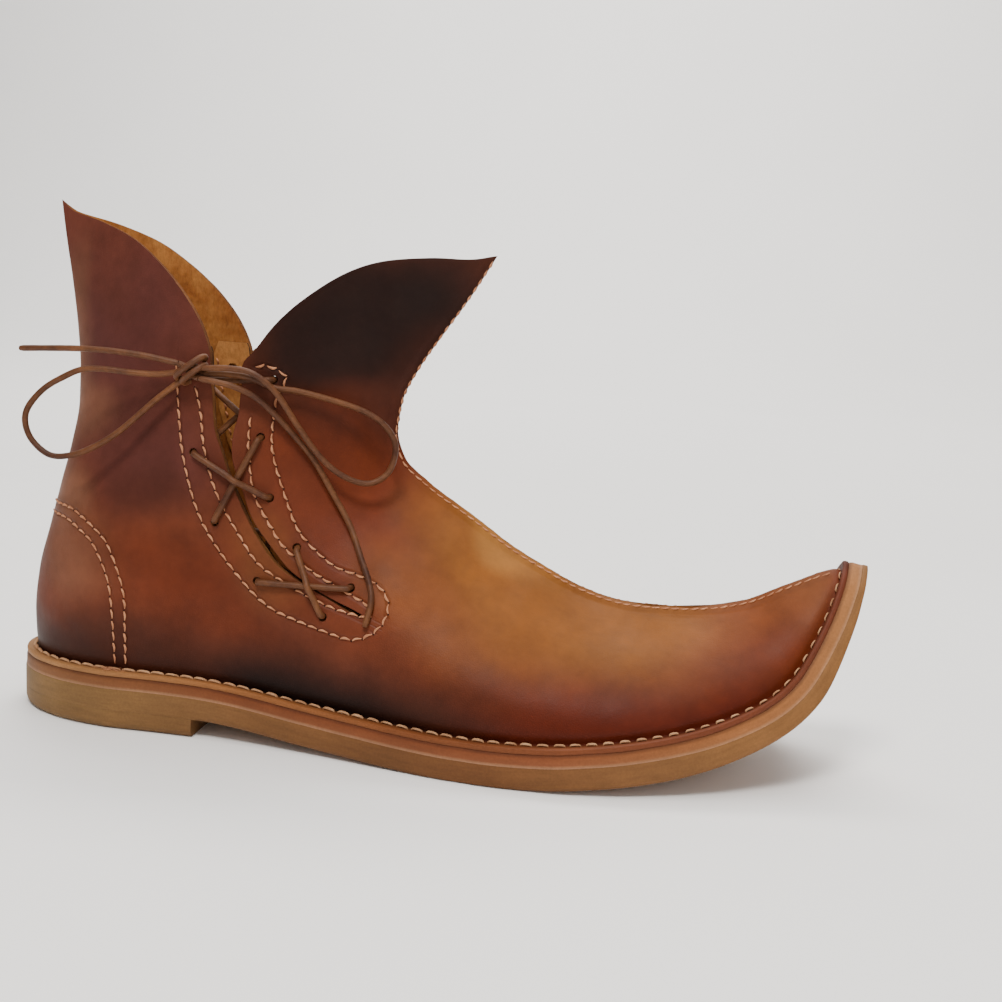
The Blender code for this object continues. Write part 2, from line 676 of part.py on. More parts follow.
def lace_strand(names, side, base, lift):
    """Middle of a strand between two holes, lifted where it crosses another."""
    start, end = (np.array(HOLES[n]) for n in names)
    length = np.linalg.norm(end - start)
    if names in LACE_OVER:
        middle = crossing(start, end, *(HOLES[n] for n in LACE_OVER[names]))
        steps = [(-LACE_RAMP, lift / 2), (0, lift), (LACE_RAMP, lift / 2)]
    else:
        middle = 0.5
        steps = [(0, 0)]
    points = []
    for distance, extra in steps:
        x, z = start + (end - start) * (middle + distance / length)
        points.append(lace_spot(x, z, side, base + extra))
    return points


def lace_bend(hole, other, side, steps):
    """The lace's bend at one face of a hole, as rows of distance from the hole and offset."""
    away = np.array(other) - np.array(hole)
    away /= np.linalg.norm(away)
    return [lace_spot(hole[0] + away[0] * d, hole[1] + away[1] * d, side, off) for d, off in steps]


def make_lace(name, side):
    """The laced run: one lace through every hole of a side, in at R1 and out at F1."""
    inside = -FACING_INNER - LACE_LIFT
    middle = -FACING_INNER / 2
    outer_bend = [(BEND_NEAR, BEND_NEAR), (BEND_FAR, LACE_LIFT)]
    inner_bend = [(BEND_NEAR, -FACING_INNER - BEND_NEAR), (BEND_FAR, inside)]
    first = HOLES[LACE_ORDER[0]]
    points = [lace_spot(first[0], first[1], side, 1.0)]
    for k in range(len(LACE_ORDER) - 1):
        names = (LACE_ORDER[k], LACE_ORDER[k + 1])
        here, there = HOLES[names[0]], HOLES[names[1]]
        hidden = k % 2 == 0
        bend, base, lift = (inner_bend, inside, -LACE_CROSS) if hidden else (outer_bend, LACE_LIFT, LACE_CROSS)
        points.append(lace_spot(here[0], here[1], side, middle))
        points += lace_bend(here, there, side, bend)
        points += lace_strand(names, side, base, lift)
        points += lace_bend(there, here, side, bend)[::-1]
    last = HOLES[LACE_ORDER[-1]]
    points.append(lace_spot(last[0], last[1], side, middle))
    points += lace_bend(last, (KNOT[0], LACE_END[1]), side, outer_bend)
    for share in (0.5, 1.0):
        x = last[0] + (LACE_END[0] - last[0]) * share
        z = last[1] + (LACE_END[1] - last[1]) * share
        points.append(lace_spot(x, z, side, LACE_LIFT + LACE_END[2] * share))
    return add_cord(name, points, step=None)


def make_knot(name, side):
    """The bow's knot, as one rounded lump."""
    around, levels = 12, 7
    centre = (KNOT[0], side * KNOT[1], KNOT[2])
    points = [(centre[0] - KNOT_RADII[0], centre[1], centre[2])]
    for level in range(1, levels):
        polar = math.pi * level / levels
        for k in range(around):
            turn = 2 * math.pi * k / around
            points.append((
                centre[0] - KNOT_RADII[0] * math.cos(polar),
                centre[1] + KNOT_RADII[1] * math.sin(polar) * math.cos(turn),
                centre[2] + KNOT_RADII[2] * math.sin(polar) * math.sin(turn),
            ))
    points.append((centre[0] + KNOT_RADII[0], centre[1], centre[2]))
    faces = []
    last = len(points) - 1
    for k in range(around):
        n = (k + 1) % around
        faces.append([0, 1 + n, 1 + k])
        faces.append([last, last - around + k, last - around + n])
        for level in range(levels - 2):
            a, b = 1 + level * around, 1 + (level + 1) * around
            faces.append([a + k, a + n, b + n, b + k])
    return add_object(name, points, faces, LACE_LEATHER, 60.0)


def beside_knot(point):
    """The point moved along its line to the knot's middle, until it lies just off the knot."""
    away = np.array(point) - KNOT
    surface = away / np.linalg.norm(away / np.array(KNOT_RADII))
    return tuple(KNOT + surface + away / np.linalg.norm(away) * KNOT_GAP)


def make_bow(name, side, routes):
    """Loops and free ends of a bow: an end leaves the knot, and a loop also comes back to it."""
    for piece, route in routes.items():
        route = [beside_knot(route[0])] + route[1:]
        if piece.startswith("loop"):
            route[-1] = beside_knot(route[-1])
        add_cord("lace_" + piece + "_" + name, [(x, side * y, z) for x, y, z in route])


def main():
    for old in list(bpy.data.objects):
        bpy.data.objects.remove(old, do_unlink=True)
    make_outsole()
    make_heel_lift()
    make_midsole()
    make_insole()
    openings = prism("cut_collar_and_slits", [collar_outline()], -70, 70)
    punches = prism("cut_lace_holes", [hole_outline(c) for c in HOLES.values()], -70, 70)
    upper = make_upper()
    cut(upper, openings)
    cut(upper, punches)
    for name, side in SIDES.items():
        shape = prism("shape_facing_" + name, [FACING], min(side * 2, side * 70), max(side * 2, side * 70))
        facing = make_facing("facing_" + name, side)
        cut(facing, shape, "INTERSECT")
        cut(facing, openings)
        cut(facing, punches)
        make_lace("lace_" + name, side)
        make_knot("lace_knot_" + name, side)
        make_bow(name, side, BOW_LATERAL if side == LATERAL else BOW_MEDIAL)


main()
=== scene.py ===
"""Looks of the poulaine pointed shoe: its leather, seams, stitches, laces, bows and sole."""

import math
import random

import bmesh
import bpy
import numpy as np
from mathutils import Matrix, Vector, noise


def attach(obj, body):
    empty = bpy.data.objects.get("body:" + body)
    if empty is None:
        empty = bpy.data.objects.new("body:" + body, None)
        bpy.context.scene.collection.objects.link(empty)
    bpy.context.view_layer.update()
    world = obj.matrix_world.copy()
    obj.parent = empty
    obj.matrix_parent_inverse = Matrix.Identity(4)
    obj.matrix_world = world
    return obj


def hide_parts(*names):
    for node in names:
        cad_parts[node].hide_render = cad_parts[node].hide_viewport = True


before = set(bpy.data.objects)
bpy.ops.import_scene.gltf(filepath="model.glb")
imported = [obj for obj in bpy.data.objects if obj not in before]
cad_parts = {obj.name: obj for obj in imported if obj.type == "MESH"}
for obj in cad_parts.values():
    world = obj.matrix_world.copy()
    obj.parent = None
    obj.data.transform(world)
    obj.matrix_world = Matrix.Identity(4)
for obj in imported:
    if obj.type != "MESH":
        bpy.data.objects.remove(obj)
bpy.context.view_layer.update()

MM = 0.001
LATERAL = -1
MEDIAL = 1
SIDES = {"lateral": LATERAL, "medial": MEDIAL}

# Camera: the photo's angle to the shoe
CAMERA_AT = (195.05, -445.45, 157.72)
CAMERA_AHEAD = (-0.13470856, 0.97807623, -0.15880964)
CAMERA_UP = (-0.07353652, 0.14996062, 0.98595344)
CAMERA_LENS = 46.707
FLOOR_Z = -0.2

# Driving dimensions in millimetres, as in the part's source
HEEL_BACK_X = -42.0
HEEL_TOP_Z = 18.5
MIDSOLE = 4.2
OUTSOLE = 7.2
GAP = 0.3
WALL = 2.0
BREAST_S = 77.0
FACING_INNER = 3.5
SEAM_HALF = 3.0
SEAM_RISE = 0.9
LACE_RADIUS = 1.1
LACE_LIFT = 1.45
LACE_CROSS = 2.3
LACE_RAMP = 3.4
PUNCH_RADIUS = 1.4
SLIT_LAP = 0.6
TOP_H = 172.0
FIN_REACH = 60.0
PROW_POWER = 1.8

SLOPE = [
    # s, slope
    (0, 0.0), (55, 0.0), (85, -3.5), (104, -7.0), (122, -5.0), (145, -3.4), (168, -0.8), (190, 2.0),
    (205, 5.0), (228, 9.0), (245, 13.5), (262, 21.5), (273, 30.0), (283, 44.0), (291, 59.0), (303, 65.0),
    (318, 74.0), (334, 80.0),
]
LEAN = [
    # s, lean
    (0, 0), (190, 0), (205, 3), (228, 9), (250, 16.5), (270, 27), (290, 41), (305, 53), (318, 63), (334, 71),
]
OUTLINE = [
    # s, lateral, medial
    (0, 28.5, 28.5), (45, 28.5, 28.5), (70, 29, 28), (96, 31, 27.5), (115, 33.2, 28), (133, 36, 30.5),
    (151, 39.5, 35), (169, 43, 40.5), (186, 45, 44.5), (202, 45.3, 46.8), (218, 44, 46.5), (236, 40.5, 43),
    (250, 36.5, 38.5), (262, 32, 34), (273, 27.5, 29), (283, 22.5, 24), (291, 18.5, 19.5), (300, 14.2, 15),
    (310, 9.5, 10), (318, 6, 6.3), (334, 4, 4),
]
FRONT = [
    # height over the sole, s
    (0, 322.6), (3.2, 322.2), (8.2, 317.3), (16.3, 306.2), (22.8, 294.1), (28.3, 280.5), (31.4, 266),
    (33.7, 251.3), (35.8, 238.3), (38.2, 225.4), (45.7, 204.2), (55.9, 183.7), (68.1, 165.2), (77.2, 150.4),
    (85.4, 140.6), (95, 137.6), (105.6, 138.9), (116.6, 143.8), (130, 152.1), (142.3, 160.3), (156, 168.5),
    (175, 179),
]
BACK = [
    # height over the sole, s
    (0, 5.5), (16, 5), (32, 6.6), (48, 10.6), (63, 14.2), (78, 17.8), (93, 20), (104, 20), (118, 19),
    (136, 16.8), (150, 14.6), (163, 12.9), (175, 11.5),
]
GIRTH = [
    # height, share
    (0, 1.0), (8, 1.04), (20, 1.07), (40, 1.04), (60, 0.98), (85, 0.86), (110, 0.745), (140, 0.67),
    (175, 0.62),
]
HEEL_ROUND = [
    # height, length, power, bluntness
    (0, 46, 2.0, 0.5), (60, 48, 2.0, 0.5), (100, 55, 1.8, 0.62), (130, 60, 1.5, 0.8), (160, 63, 1.3, 0.95),
    (175, 63, 1.3, 0.95),
]
PROW = [
    # s, reach
    (0, 62), (120, 60), (150, 53), (180, 47), (200, 43), (228, 36), (250, 32), (275, 27), (290, 22),
    (300, 17), (310, 11), (318, 6), (334, 4),
]
OUTSOLE_TOE = [
    # s, share of the outsole's thickness
    (0, 1.0), (235, 1.0), (262, 0.86), (285, 0.68), (308, 0.38), (327, 0.22), (334, 0.22),
]
FLANGE = [
    # s, width
    (0, 4.4), (90, 4.4), (150, 5.4), (200, 5.6), (250, 4.8), (334, 4.2),
]
COLLAR_REAR = [
    # x, z
    (-29.5, 182.3), (-26.5, 179.8), (-22.8, 177.7), (-10.7, 174.5), (2.8, 169.1), (13.4, 161.7),
    (21.4, 154.3), (27.6, 146.8), (31.7, 140.0), (34.6, 132.5),
]
SLIT_REAR = [
    # x, z
    (35.3, 126.0), (35.7, 120.7), (37.3, 107.4), (41.0, 97.9), (44.6, 89.4), (53.2, 73.9), (62.7, 62.6),
    (75.2, 55.6), (92.5, 48.3),
]
SLIT_FRONT = [
    # x, z
    (93.8, 49.4), (81.8, 54.3), (69.2, 61.3), (62.3, 67.9), (54.2, 77.5), (49.2, 88.4), (45.5, 97.0),
    (45.1, 105.2), (46.5, 112.3), (46.6, 121.0), (46.4, 129.0),
]
COLLAR_FRONT = [
    # x, z
    (50.3, 133.9), (56.8, 142.7), (65.0, 150.8), (78.2, 160.1), (91.1, 165.4), (107.0, 167.6),
    (119.5, 167.9), (127.5, 169.5),
]
FACING = [
    # x, z
    (20.5, 127.0), (22.8, 110), (25.5, 97), (31.3, 80), (38, 67.5), (49, 55), (60, 46.7), (71, 43),
    (83, 40), (92, 38.8), (99.5, 41.8), (104, 48), (103.8, 55), (99.5, 60), (92, 63), (84, 65.3), (78, 69),
    (72.5, 74), (67.5, 83), (62.5, 93), (60, 99.5), (59.2, 106), (60, 117.5), (61.0, 128.5), (54, 131.5),
    (48, 150), (30, 150),
]
HOLES = {
    "R1": (28.5, 124.3), "R2": (31.0, 98.5), "R3": (40.4, 75.7), "R4": (56.6, 57.2), "R5": (80.5, 47.4),
    "F1": (56.9, 124.3), "F2": (53.7, 104.9), "F3": (58.4, 84.8), "F4": (69.0, 69.0), "F5": (88.8, 57.2),
}
LACE_ORDER = ["R1", "F2", "R3", "F4", "R5", "F5", "R4", "F3", "R2", "F1"]
LACE_OVER = {("F3", "R2"): ("F2", "R3"), ("F4", "R5"): ("F5", "R4"), ("R2", "F1"): ("R1", "F2"),
             ("R4", "F3"): ("R3", "F4")}
LACE_END = (35.6, 123.2, 0.6)
KNOT = np.array((30.0, 26.9, 126.3))
KNOT_RADII = (4.2, 3.3, 3.6)
KNOT_GAP = 0.65
BOW_LATERAL = {
    "end_rear": [
        (25.4, 27.4, 128.6), (17.2, 28.0, 129.9), (10.7, 28.5, 130.7), (0.6, 29.0, 131.4),
        (-9.6, 29.0, 131.4), (-20.0, 28.5, 130.9), (-30.4, 28.0, 130.3),
    ],
    "loop_rear": [
        (25.0, 27.2, 125.3), (18.0, 27.2, 124.3), (9.5, 28.2, 124.4), (0.6, 29.0, 125.0),
        (-7.3, 29.5, 124.5), (-13.9, 30.0, 121.5), (-20.8, 30.0, 117.2), (-26.3, 30.0, 111.0),
        (-27.7, 30.0, 105.7), (-25.7, 30.0, 100.0), (-20.9, 30.0, 95.6), (-16.0, 30.0, 94.3),
        (-9.3, 29.5, 95.6), (-2.6, 29.0, 98.7), (4.0, 28.5, 103.0), (10.6, 28.0, 108.7),
        (17.1, 27.5, 114.8), (22.0, 26.8, 119.0), (26.6, 26.6, 122.4),
    ],
    "loop_front": [
        (34.9, 28.2, 127.5), (45.7, 29.0, 127.8), (53.1, 29.0, 126.3), (60.0, 27.3, 120.5),
        (66.7, 24.8, 110.1), (73.2, 23.5, 101.2), (79.7, 22.5, 95.1), (86.7, 21.0, 91.7),
        (92.2, 19.0, 91.5), (96.8, 17.0, 94.9), (98.6, 15.5, 100.7), (98.0, 15.0, 106.2),
        (93.5, 15.5, 111.8), (86.3, 16.5, 115.7), (75.9, 19.0, 118.8), (65.6, 22.2, 121.2),
        (58.5, 25.0, 122.0), (50.4, 26.2, 125.0), (42.0, 26.3, 125.6), (35.1, 26.0, 125.1),
    ],
    "end_front": [
        (34.2, 28.6, 123.4), (39.5, 28.4, 123.0), (45.4, 28.0, 121.8), (52.4, 26.2, 118.6),
        (59.3, 24.5, 112.6), (66.2, 22.6, 105.0), (72.0, 21.3, 98.0), (79.0, 21.3, 87.0),
        (85.9, 23.6, 76.8), (91.0, 28.0, 67.4), (95.1, 31.7, 59.7), (96.7, 34.6, 54.0),
        (95.7, 38.0, 46.1),
    ],
}
BOW_MEDIAL = {
    "end_rear": [
        (25.4, 27.4, 128.6), (17.0, 28.6, 129.3), (9.0, 29.5, 127.2), (2.0, 28.5, 122.0),
        (-3.0, 27.0, 115.0), (-6.0, 26.0, 107.0), (-7.5, 26.0, 99.5),
    ],
    "loop_rear": [
        (25.0, 27.2, 125.3), (18.0, 28.0, 122.5), (10.0, 29.0, 116.5), (2.0, 28.5, 109.0),
        (-3.0, 27.5, 101.0), (-3.5, 27.3, 93.5), (1.0, 28.2, 89.0), (7.0, 29.5, 91.0), (12.5, 29.8, 98.0),
        (17.0, 29.3, 106.0), (21.0, 28.3, 114.0), (26.6, 26.6, 122.4),
    ],
    "loop_front": [
        (34.9, 28.2, 127.5), (42.0, 29.2, 127.8), (50.5, 29.6, 124.8), (58.0, 27.0, 115.5),
        (65.0, 25.0, 106.5), (71.0, 24.0, 98.5), (77.0, 23.4, 93.8), (83.0, 22.3, 94.5),
        (85.5, 21.2, 100.0), (81.5, 21.0, 106.5), (74.0, 21.6, 111.5), (66.0, 22.8, 116.0),
        (58.0, 24.4, 120.5), (50.4, 26.2, 124.6), (42.0, 26.3, 125.6), (35.1, 26.0, 125.1),
    ],
    "end_front": [
        (34.2, 28.6, 123.4), (41.0, 28.6, 120.8), (48.5, 28.0, 115.0), (57.0, 27.3, 107.0),
        (63.0, 27.3, 98.5), (66.5, 28.2, 89.5), (67.5, 29.8, 80.5),
    ],
}
# Stitch rows in the side view, x and z
FACING_ROW_OUTER = [
    (22.4, 128.5), (22.8, 125), (24.9, 110.9), (27.5, 96.9), (33.1, 80.8), (40, 69.4), (51.4, 56.8), (61, 49.2),
    (71.6, 45.4), (83.2, 42.5), (91.4, 41.2), (98.4, 44), (102.1, 49), (101.9, 53.9), (98.3, 58.1),
    (91.4, 61), (83.2, 63.1), (76.2, 67.5), (70.8, 72.1), (67.4, 76.6), (64.8, 82), (60.3, 92.5),
    (58, 99.4), (57.2, 105.7), (57.9, 117.6), (59.6, 121.5), (61.4, 124.6), (59.4, 127.2), (56.1, 128.3),
    (52.8, 129.2), (50.4, 128.2),
]
FACING_ROW_INNER = [
    (30.3, 120.4), (32.9, 111.5), (34.4, 101.6), (37.8, 91.3), (40.6, 85.1), (44.8, 78.4), (49.7, 71.7),
    (55.4, 64.3), (61.6, 59.9), (74, 54), (82.2, 51), (90.5, 48.6), (95.0, 47.6), (97.6, 50.5),
    (93.5, 53.2), (85.5, 56.6), (76.8, 60.6), (69.6, 65.2), (63.5, 70.2), (59.4, 75.8), (56.1, 80.6),
    (52.7, 86.7), (50.3, 98.4), (49.7, 106.1), (50, 111.8),
]
COUNTER_ROW_OUTER = [
    (-33.6, 74.4), (-32, 74.9), (-17.5, 75.1), (-10.5, 72.8), (-4, 69.2), (1, 65.1), (5.2, 57.6),
    (7.7, 51.2), (9, 44.6), (9, 34.5), (8.8, 22.5),
]
COUNTER_ROW_INNER = [
    (-34.4, 70.9), (-33.2, 71.3), (-19.1, 71.4), (-10.7, 68.2), (-5.3, 65), (-0.8, 58.9), (2.5, 52),
    (4, 44.1), (4.7, 34), (4.9, 22.5),
]
ROWS = (FACING_ROW_OUTER, FACING_ROW_INNER, COUNTER_ROW_OUTER, COUNTER_ROW_INNER)


# Tables and curves

def table(rows, column, at):
    """Smooth value of one column of a table, with no overshoot between its rows."""
    xs = np.array([row[0] for row in rows], float)
    ys = np.array([row[column] for row in rows], float)
    at = np.asarray(at, float)
    steps = np.diff(ys) / np.diff(xs)
    slopes = np.empty(len(xs))
    slopes[0], slopes[-1] = steps[0], steps[-1]
    for i in range(1, len(xs) - 1):
        turns = steps[i - 1] * steps[i] <= 0
        slopes[i] = 0.0 if turns else 2 * steps[i - 1] * steps[i] / (steps[i - 1] + steps[i])
    i = np.clip(np.searchsorted(xs, at) - 1, 0, len(xs) - 2)
    width = xs[i + 1] - xs[i]
    t = np.clip((at - xs[i]) / width, 0, 1)
    ends = ys[i] * (2 * t**3 - 3 * t**2 + 1) + ys[i + 1] * (3 * t**2 - 2 * t**3)
    return ends + width * (slopes[i] * (t**3 - 2 * t**2 + t) + slopes[i + 1] * (t**3 - t**2))


def fade(low, high, at):
    """0 below low, 1 above high, smooth between them."""
    t = np.clip((at - low) / (high - low), 0, 1)
    return t * t * (3 - 2 * t)


def smooth_route(points, step):
    """Points about one step apart on a smooth curve through the route's points."""
    p = np.array(points, float)
    p = np.vstack([2 * p[0] - p[1], p, 2 * p[-1] - p[-2]])
    dense = []
    for i in range(1, len(p) - 2):
        for t in np.linspace(0, 1, 12, endpoint=False):
            dense.append(0.5 * (
                2 * p[i] + (p[i + 1] - p[i - 1]) * t
                + (2 * p[i - 1] - 5 * p[i] + 4 * p[i + 1] - p[i + 2]) * t**2
                + (3 * p[i] - p[i - 1] - 3 * p[i + 1] + p[i + 2]) * t**3
            ))
    dense = np.array(dense + [p[-2]])
    along = np.concatenate([[0], np.cumsum(np.linalg.norm(np.diff(dense, axis=0), axis=1))])
    marks = np.linspace(0, along[-1], max(int(round(along[-1] / step)), 2) + 1)
    return np.stack([np.interp(marks, along, dense[:, k]) for k in range(dense.shape[1])], axis=1)


ARC_END = 334.0
_arc = np.linspace(0, ARC_END, 1337)
_slope = np.radians(table(SLOPE, 1, _arc))
_lean = np.radians(table(LEAN, 1, _arc))
_middle = (_slope[1:] + _slope[:-1]) / 2
_arc_x = HEEL_BACK_X + np.concatenate([[0], np.cumsum(np.cos(_middle) * np.diff(_arc))])
_arc_z = HEEL_TOP_Z + np.concatenate([[0], np.cumsum(np.sin(_middle) * np.diff(_arc))])


def raised(s, y, height, angles):
    """Point at arc length s, side y, and height over the sole's top along the given angles."""
    angle = np.interp(s, _arc, angles)
    x = np.interp(s, _arc, _arc_x) - np.sin(angle) * height
    z = np.interp(s, _arc, _arc_z) + np.cos(angle) * height
    return np.stack(np.broadcast_arrays(x, y, z), axis=-1)


def upper_point(s, y, height):
    return raised(s, y, height, _lean)


def sole_point(s, y, height):
    return raised(s, y, height, _slope)


def on_sheet(x, z):
    """Arc length and height of points of the side view, the inverse of upper_point."""
    x, z = np.asarray(x, float), np.asarray(z, float)
    s = np.interp(x, _arc_x, _arc)
    height = z - np.interp(s, _arc, _arc_z)
    for _ in range(14):
        here = upper_point(s, 0.0, height)
        ahead = (upper_point(s + 0.5, 0.0, height) - upper_point(s - 0.5, 0.0, height))
        angle = np.interp(s, _arc, _lean)
        up_x, up_z = -np.sin(angle), np.cos(angle)
        miss_x, miss_z = x - here[..., 0], z - here[..., 2]
        size = ahead[..., 0] * up_z - ahead[..., 2] * up_x
        size = np.where(np.abs(size) < 0.05, 0.05, size)
        s = np.clip(s + (miss_x * up_z - miss_z * up_x) / size * 0.9, 0, ARC_END)
        height = height + (ahead[..., 0] * miss_z - ahead[..., 2] * miss_x) / size * 0.9
    return s, height


_front_h = np.linspace(0, 175, 701)
_front_line = upper_point(table(FRONT, 1, _front_h), 0.0, _front_h)[:, [0, 2]]


def nearest(points, line):
    """Distance of each point to the vertices of a dense line."""
    flat = points.reshape(-1, 2)
    out = np.empty(len(flat))
    for start in range(0, len(flat), 4000):
        part = flat[start:start + 4000]
        out[start:start + 4000] = np.linalg.norm(part[:, None, :] - line[None], axis=2).min(axis=1)
    return out.reshape(points.shape[:-1])


def ridge_distance(s, height):
    return nearest(upper_point(s, 0.0, height)[..., [0, 2]], _front_line)


def half_width(s, height, side, depth=0.0):
    """Half width of the upper at s and height, at a depth under its outer face."""
    s, height = np.broadcast_arrays(np.asarray(s, float), np.asarray(height, float))
    lateral = table(OUTLINE, 1, s)
    medial = table(OUTLINE, 2, s)
    foot = lateral if side == LATERAL else medial + (lateral - medial) * fade(15, 80, height)
    body = foot * table(GIRTH, 1, height) - depth
    ridge_depth = 1.35 * depth
    reach = table(PROW, 1, s)
    reach = reach + (FIN_REACH - reach) * fade(60, 100, height) - ridge_depth
    to_ridge = np.clip((ridge_distance(s, height) - ridge_depth) / reach, 0, 1)
    front = 1 - (1 - to_ridge) ** PROW_POWER
    length = table(HEEL_ROUND, 1, height) - depth
    to_back = np.clip((s - table(BACK, 1, height) - depth) / length, 0, 1)
    rounded = 1 - (1 - to_back) ** table(HEEL_ROUND, 2, height)
    back = np.maximum(rounded, 0) ** table(HEEL_ROUND, 3, height)
    return body * front * back


def front_s(height, distance):
    """Arc length at which a height line comes within a distance of the front line."""
    low, high = table(BACK, 1, height) + 20, float(table(FRONT, 1, height))
    if distance <= 0:
        return high
    for _ in range(26):
        middle = (low + high) / 2
        if ridge_distance(middle, height) > distance:
            low = middle
        else:
            high = middle
    return high


def seam_s(height, distance):
    near = front_s(height, 1.0)
    flank = float(half_width(near, height, LATERAL))
    return front_s(height, distance / math.sqrt(1 + flank**2))


def spread(count):
    return (1 - np.cos(np.linspace(0, math.pi, count))) / 2


def skin_point(x, z, side, offset=0.0):
    """Point of the outer face at x, z of the side view, moved outwards along its normal by an offset."""
    s, height = on_sheet(x, z)
    width = half_width(s, height, side)
    along = half_width(s + 0.7, height, side) - half_width(s - 0.7, height, side)
    up = half_width(s, height + 0.7, side) - half_width(s, height - 0.7, side)
    slope_s, slope_h = along / 1.4, up / 1.4
    angle = np.interp(s, _arc, _lean)
    normal_x = -slope_s * np.cos(angle) + slope_h * np.sin(angle)
    normal_z = -slope_s * np.sin(angle) - slope_h * np.cos(angle)
    normal = np.stack([normal_x, np.full_like(normal_x, float(side)), normal_z], axis=-1)
    normal /= np.linalg.norm(normal, axis=-1, keepdims=True)
    base = np.stack([np.asarray(x, float) + 0 * width, side * width, np.asarray(z, float) + 0 * width], axis=-1)
    return base + normal * np.asarray(offset)[..., None], normal


def foot_line(side):
    s = table(BACK, 1, 0) + (table(FRONT, 1, 0) - table(BACK, 1, 0)) * spread(481)
    return np.stack([s, half_width(s, 0.0, side)], axis=1)


def outward(line):
    run = np.gradient(line, axis=0)
    normals = np.stack([-run[:, 1], run[:, 0]], axis=1)
    normals /= np.linalg.norm(normals, axis=1)[:, None]
    normals[0] = (-1, 0)
    normals[-1] = (1, 0)
    return normals


FOOT = {side: foot_line(side) for side in (LATERAL, MEDIAL)}
FOOT_OUT = {side: outward(FOOT[side]) for side in (LATERAL, MEDIAL)}


def sole_edge(side, inset=0.0):
    """The sole's outline on one side, as rows of arc length and half width."""
    width = table(FLANGE, 1, FOOT[side][:, 0])
    return FOOT[side] + FOOT_OUT[side] * (width - inset)[:, None]


# Leather's slow waves and the thickness of what lies under it, in millimetres

def densely(row, step=0.4):
    return smooth_route(row, step)


def inside(points, polygon):
    """Whether each x, z lies in a closed polygon."""
    x, z = points[..., 0], points[..., 1]
    result = np.zeros(x.shape, bool)
    a = polygon
    b = np.roll(polygon, -1, axis=0)
    for (ax, az), (bx, bz) in zip(a, b):
        if az == bz:
            continue
        across = (az > z) != (bz > z)
        result ^= across & (x < (bx - ax) * (z - az) / (bz - az) + ax)
    return result


FACING_LINE = densely(FACING_ROW_OUTER)
COUNTER_LINE = densely(COUNTER_ROW_OUTER)
FACING_AREA = np.vstack([FACING_LINE[:-40], [(60, 160), (20, 160)]])
COUNTER_AREA = np.vstack([COUNTER_LINE, [(8.8, 0), (-80, 0), (-80, 74.4)]])


def signed(points, line, area):
    """Distance to a line of the side view, negative in its area."""
    away = nearest(points, line)
    return np.where(inside(points, area), -away, away)


def waves(x, z, side):
    """Slow unevenness of the hide."""
    out = np.empty(len(x))
    for i in range(len(x)):
        out[i] = noise.noise(Vector((x[i] / 34, side * 7.0, z[i] / 30)))
        out[i] += 0.4 * noise.noise(Vector((x[i] / 13, side * 9.0 + 3, z[i] / 15)))
    return out


HOLLOWS = [
    # x, z, reach along x, reach along z, tilt in degrees, depth (negative is a swelling)
    (-2, 96, 15, 11, 20, 0.8),       # behind the facing, over the counter
    (14, 82, 8, 22, 15, 0.5),
    (112, 62, 26, 5, -38, 0.7),      # across the instep, below the fin
    (122, 50, 30, 4, -30, -0.4),
    (130, 43, 30, 5, -28, 0.5),      # soft flex creases over the ball
    (150, 40, 24, 4, -24, 0.4),
    (96, 84, 12, 6, 50, 0.5),
    (60, 40, 32, 6, -12, 0.45),      # under the facing's end
    (20, 32, 22, 7, 5, 0.4),
    (84, 128, 16, 12, 40, -0.5),     # belly of the front fin
    (104, 120, 5, 18, -25, 0.4),
]


def bulge(x, z, side):
    """How far the outer face stands out from the last's plain surface."""
    spots = np.stack([x, z], axis=-1)
    out = 0.28 * waves(x, z, side)
    for hx, hz, rx, rz, tilt, depth in HOLLOWS:
        c, s = math.cos(math.radians(tilt)), math.sin(math.radians(tilt))
        dx, dz = x - hx, z - hz
        along, across = dx * c + dz * s, dz * c - dx * s
        out -= depth * np.exp(-((along / rx) ** 2 + (across / rz) ** 2))
    near = (x < 112) & (z > 30)
    facing = np.zeros(len(x))
    if near.any():
        facing[near] = fade(1.8, -0.6, signed(spots[near], FACING_LINE, FACING_AREA))
    counter = np.zeros(len(x))
    low = (x < 20) & (z < 86)
    if low.any():
        counter[low] = fade(2.2, -0.8, signed(spots[low], COUNTER_LINE, COUNTER_AREA))
    return out + 0.4 * facing + 0.5 * counter


# Meshes

def add_mesh(name, points, faces, materials, smooth=35.0, material_of=None):
    mesh = bpy.data.meshes.new(name)
    mesh.from_pydata((np.asarray(points, float) * MM).tolist(), [], faces)
    mesh.validate()
    for made in materials:
        mesh.materials.append(made)
    if material_of is not None:
        mesh.polygons.foreach_set("material_index", material_of)
    work = bmesh.new()
    work.from_mesh(mesh)
    bmesh.ops.recalc_face_normals(work, faces=work.faces)
    work.to_mesh(mesh)
    work.free()
    mesh.shade_smooth()
    mesh.set_sharp_from_angle(angle=math.radians(smooth))
    made = bpy.data.objects.new(name, mesh)
    bpy.context.scene.collection.objects.link(made)
    return made


def keep(piece, slot, *nodes):
    """The piece rides on the shoe and may stand for CAD nodes, which it hides; slot is not used."""
    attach(piece, "root")
    if nodes:
        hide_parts(*nodes)
    return piece


# Materials

def new_material(name):
    made = bpy.data.materials.new(name)
    made.use_nodes = True
    nodes = made.node_tree.nodes
    return made, nodes, made.node_tree.links, nodes["Principled BSDF"]


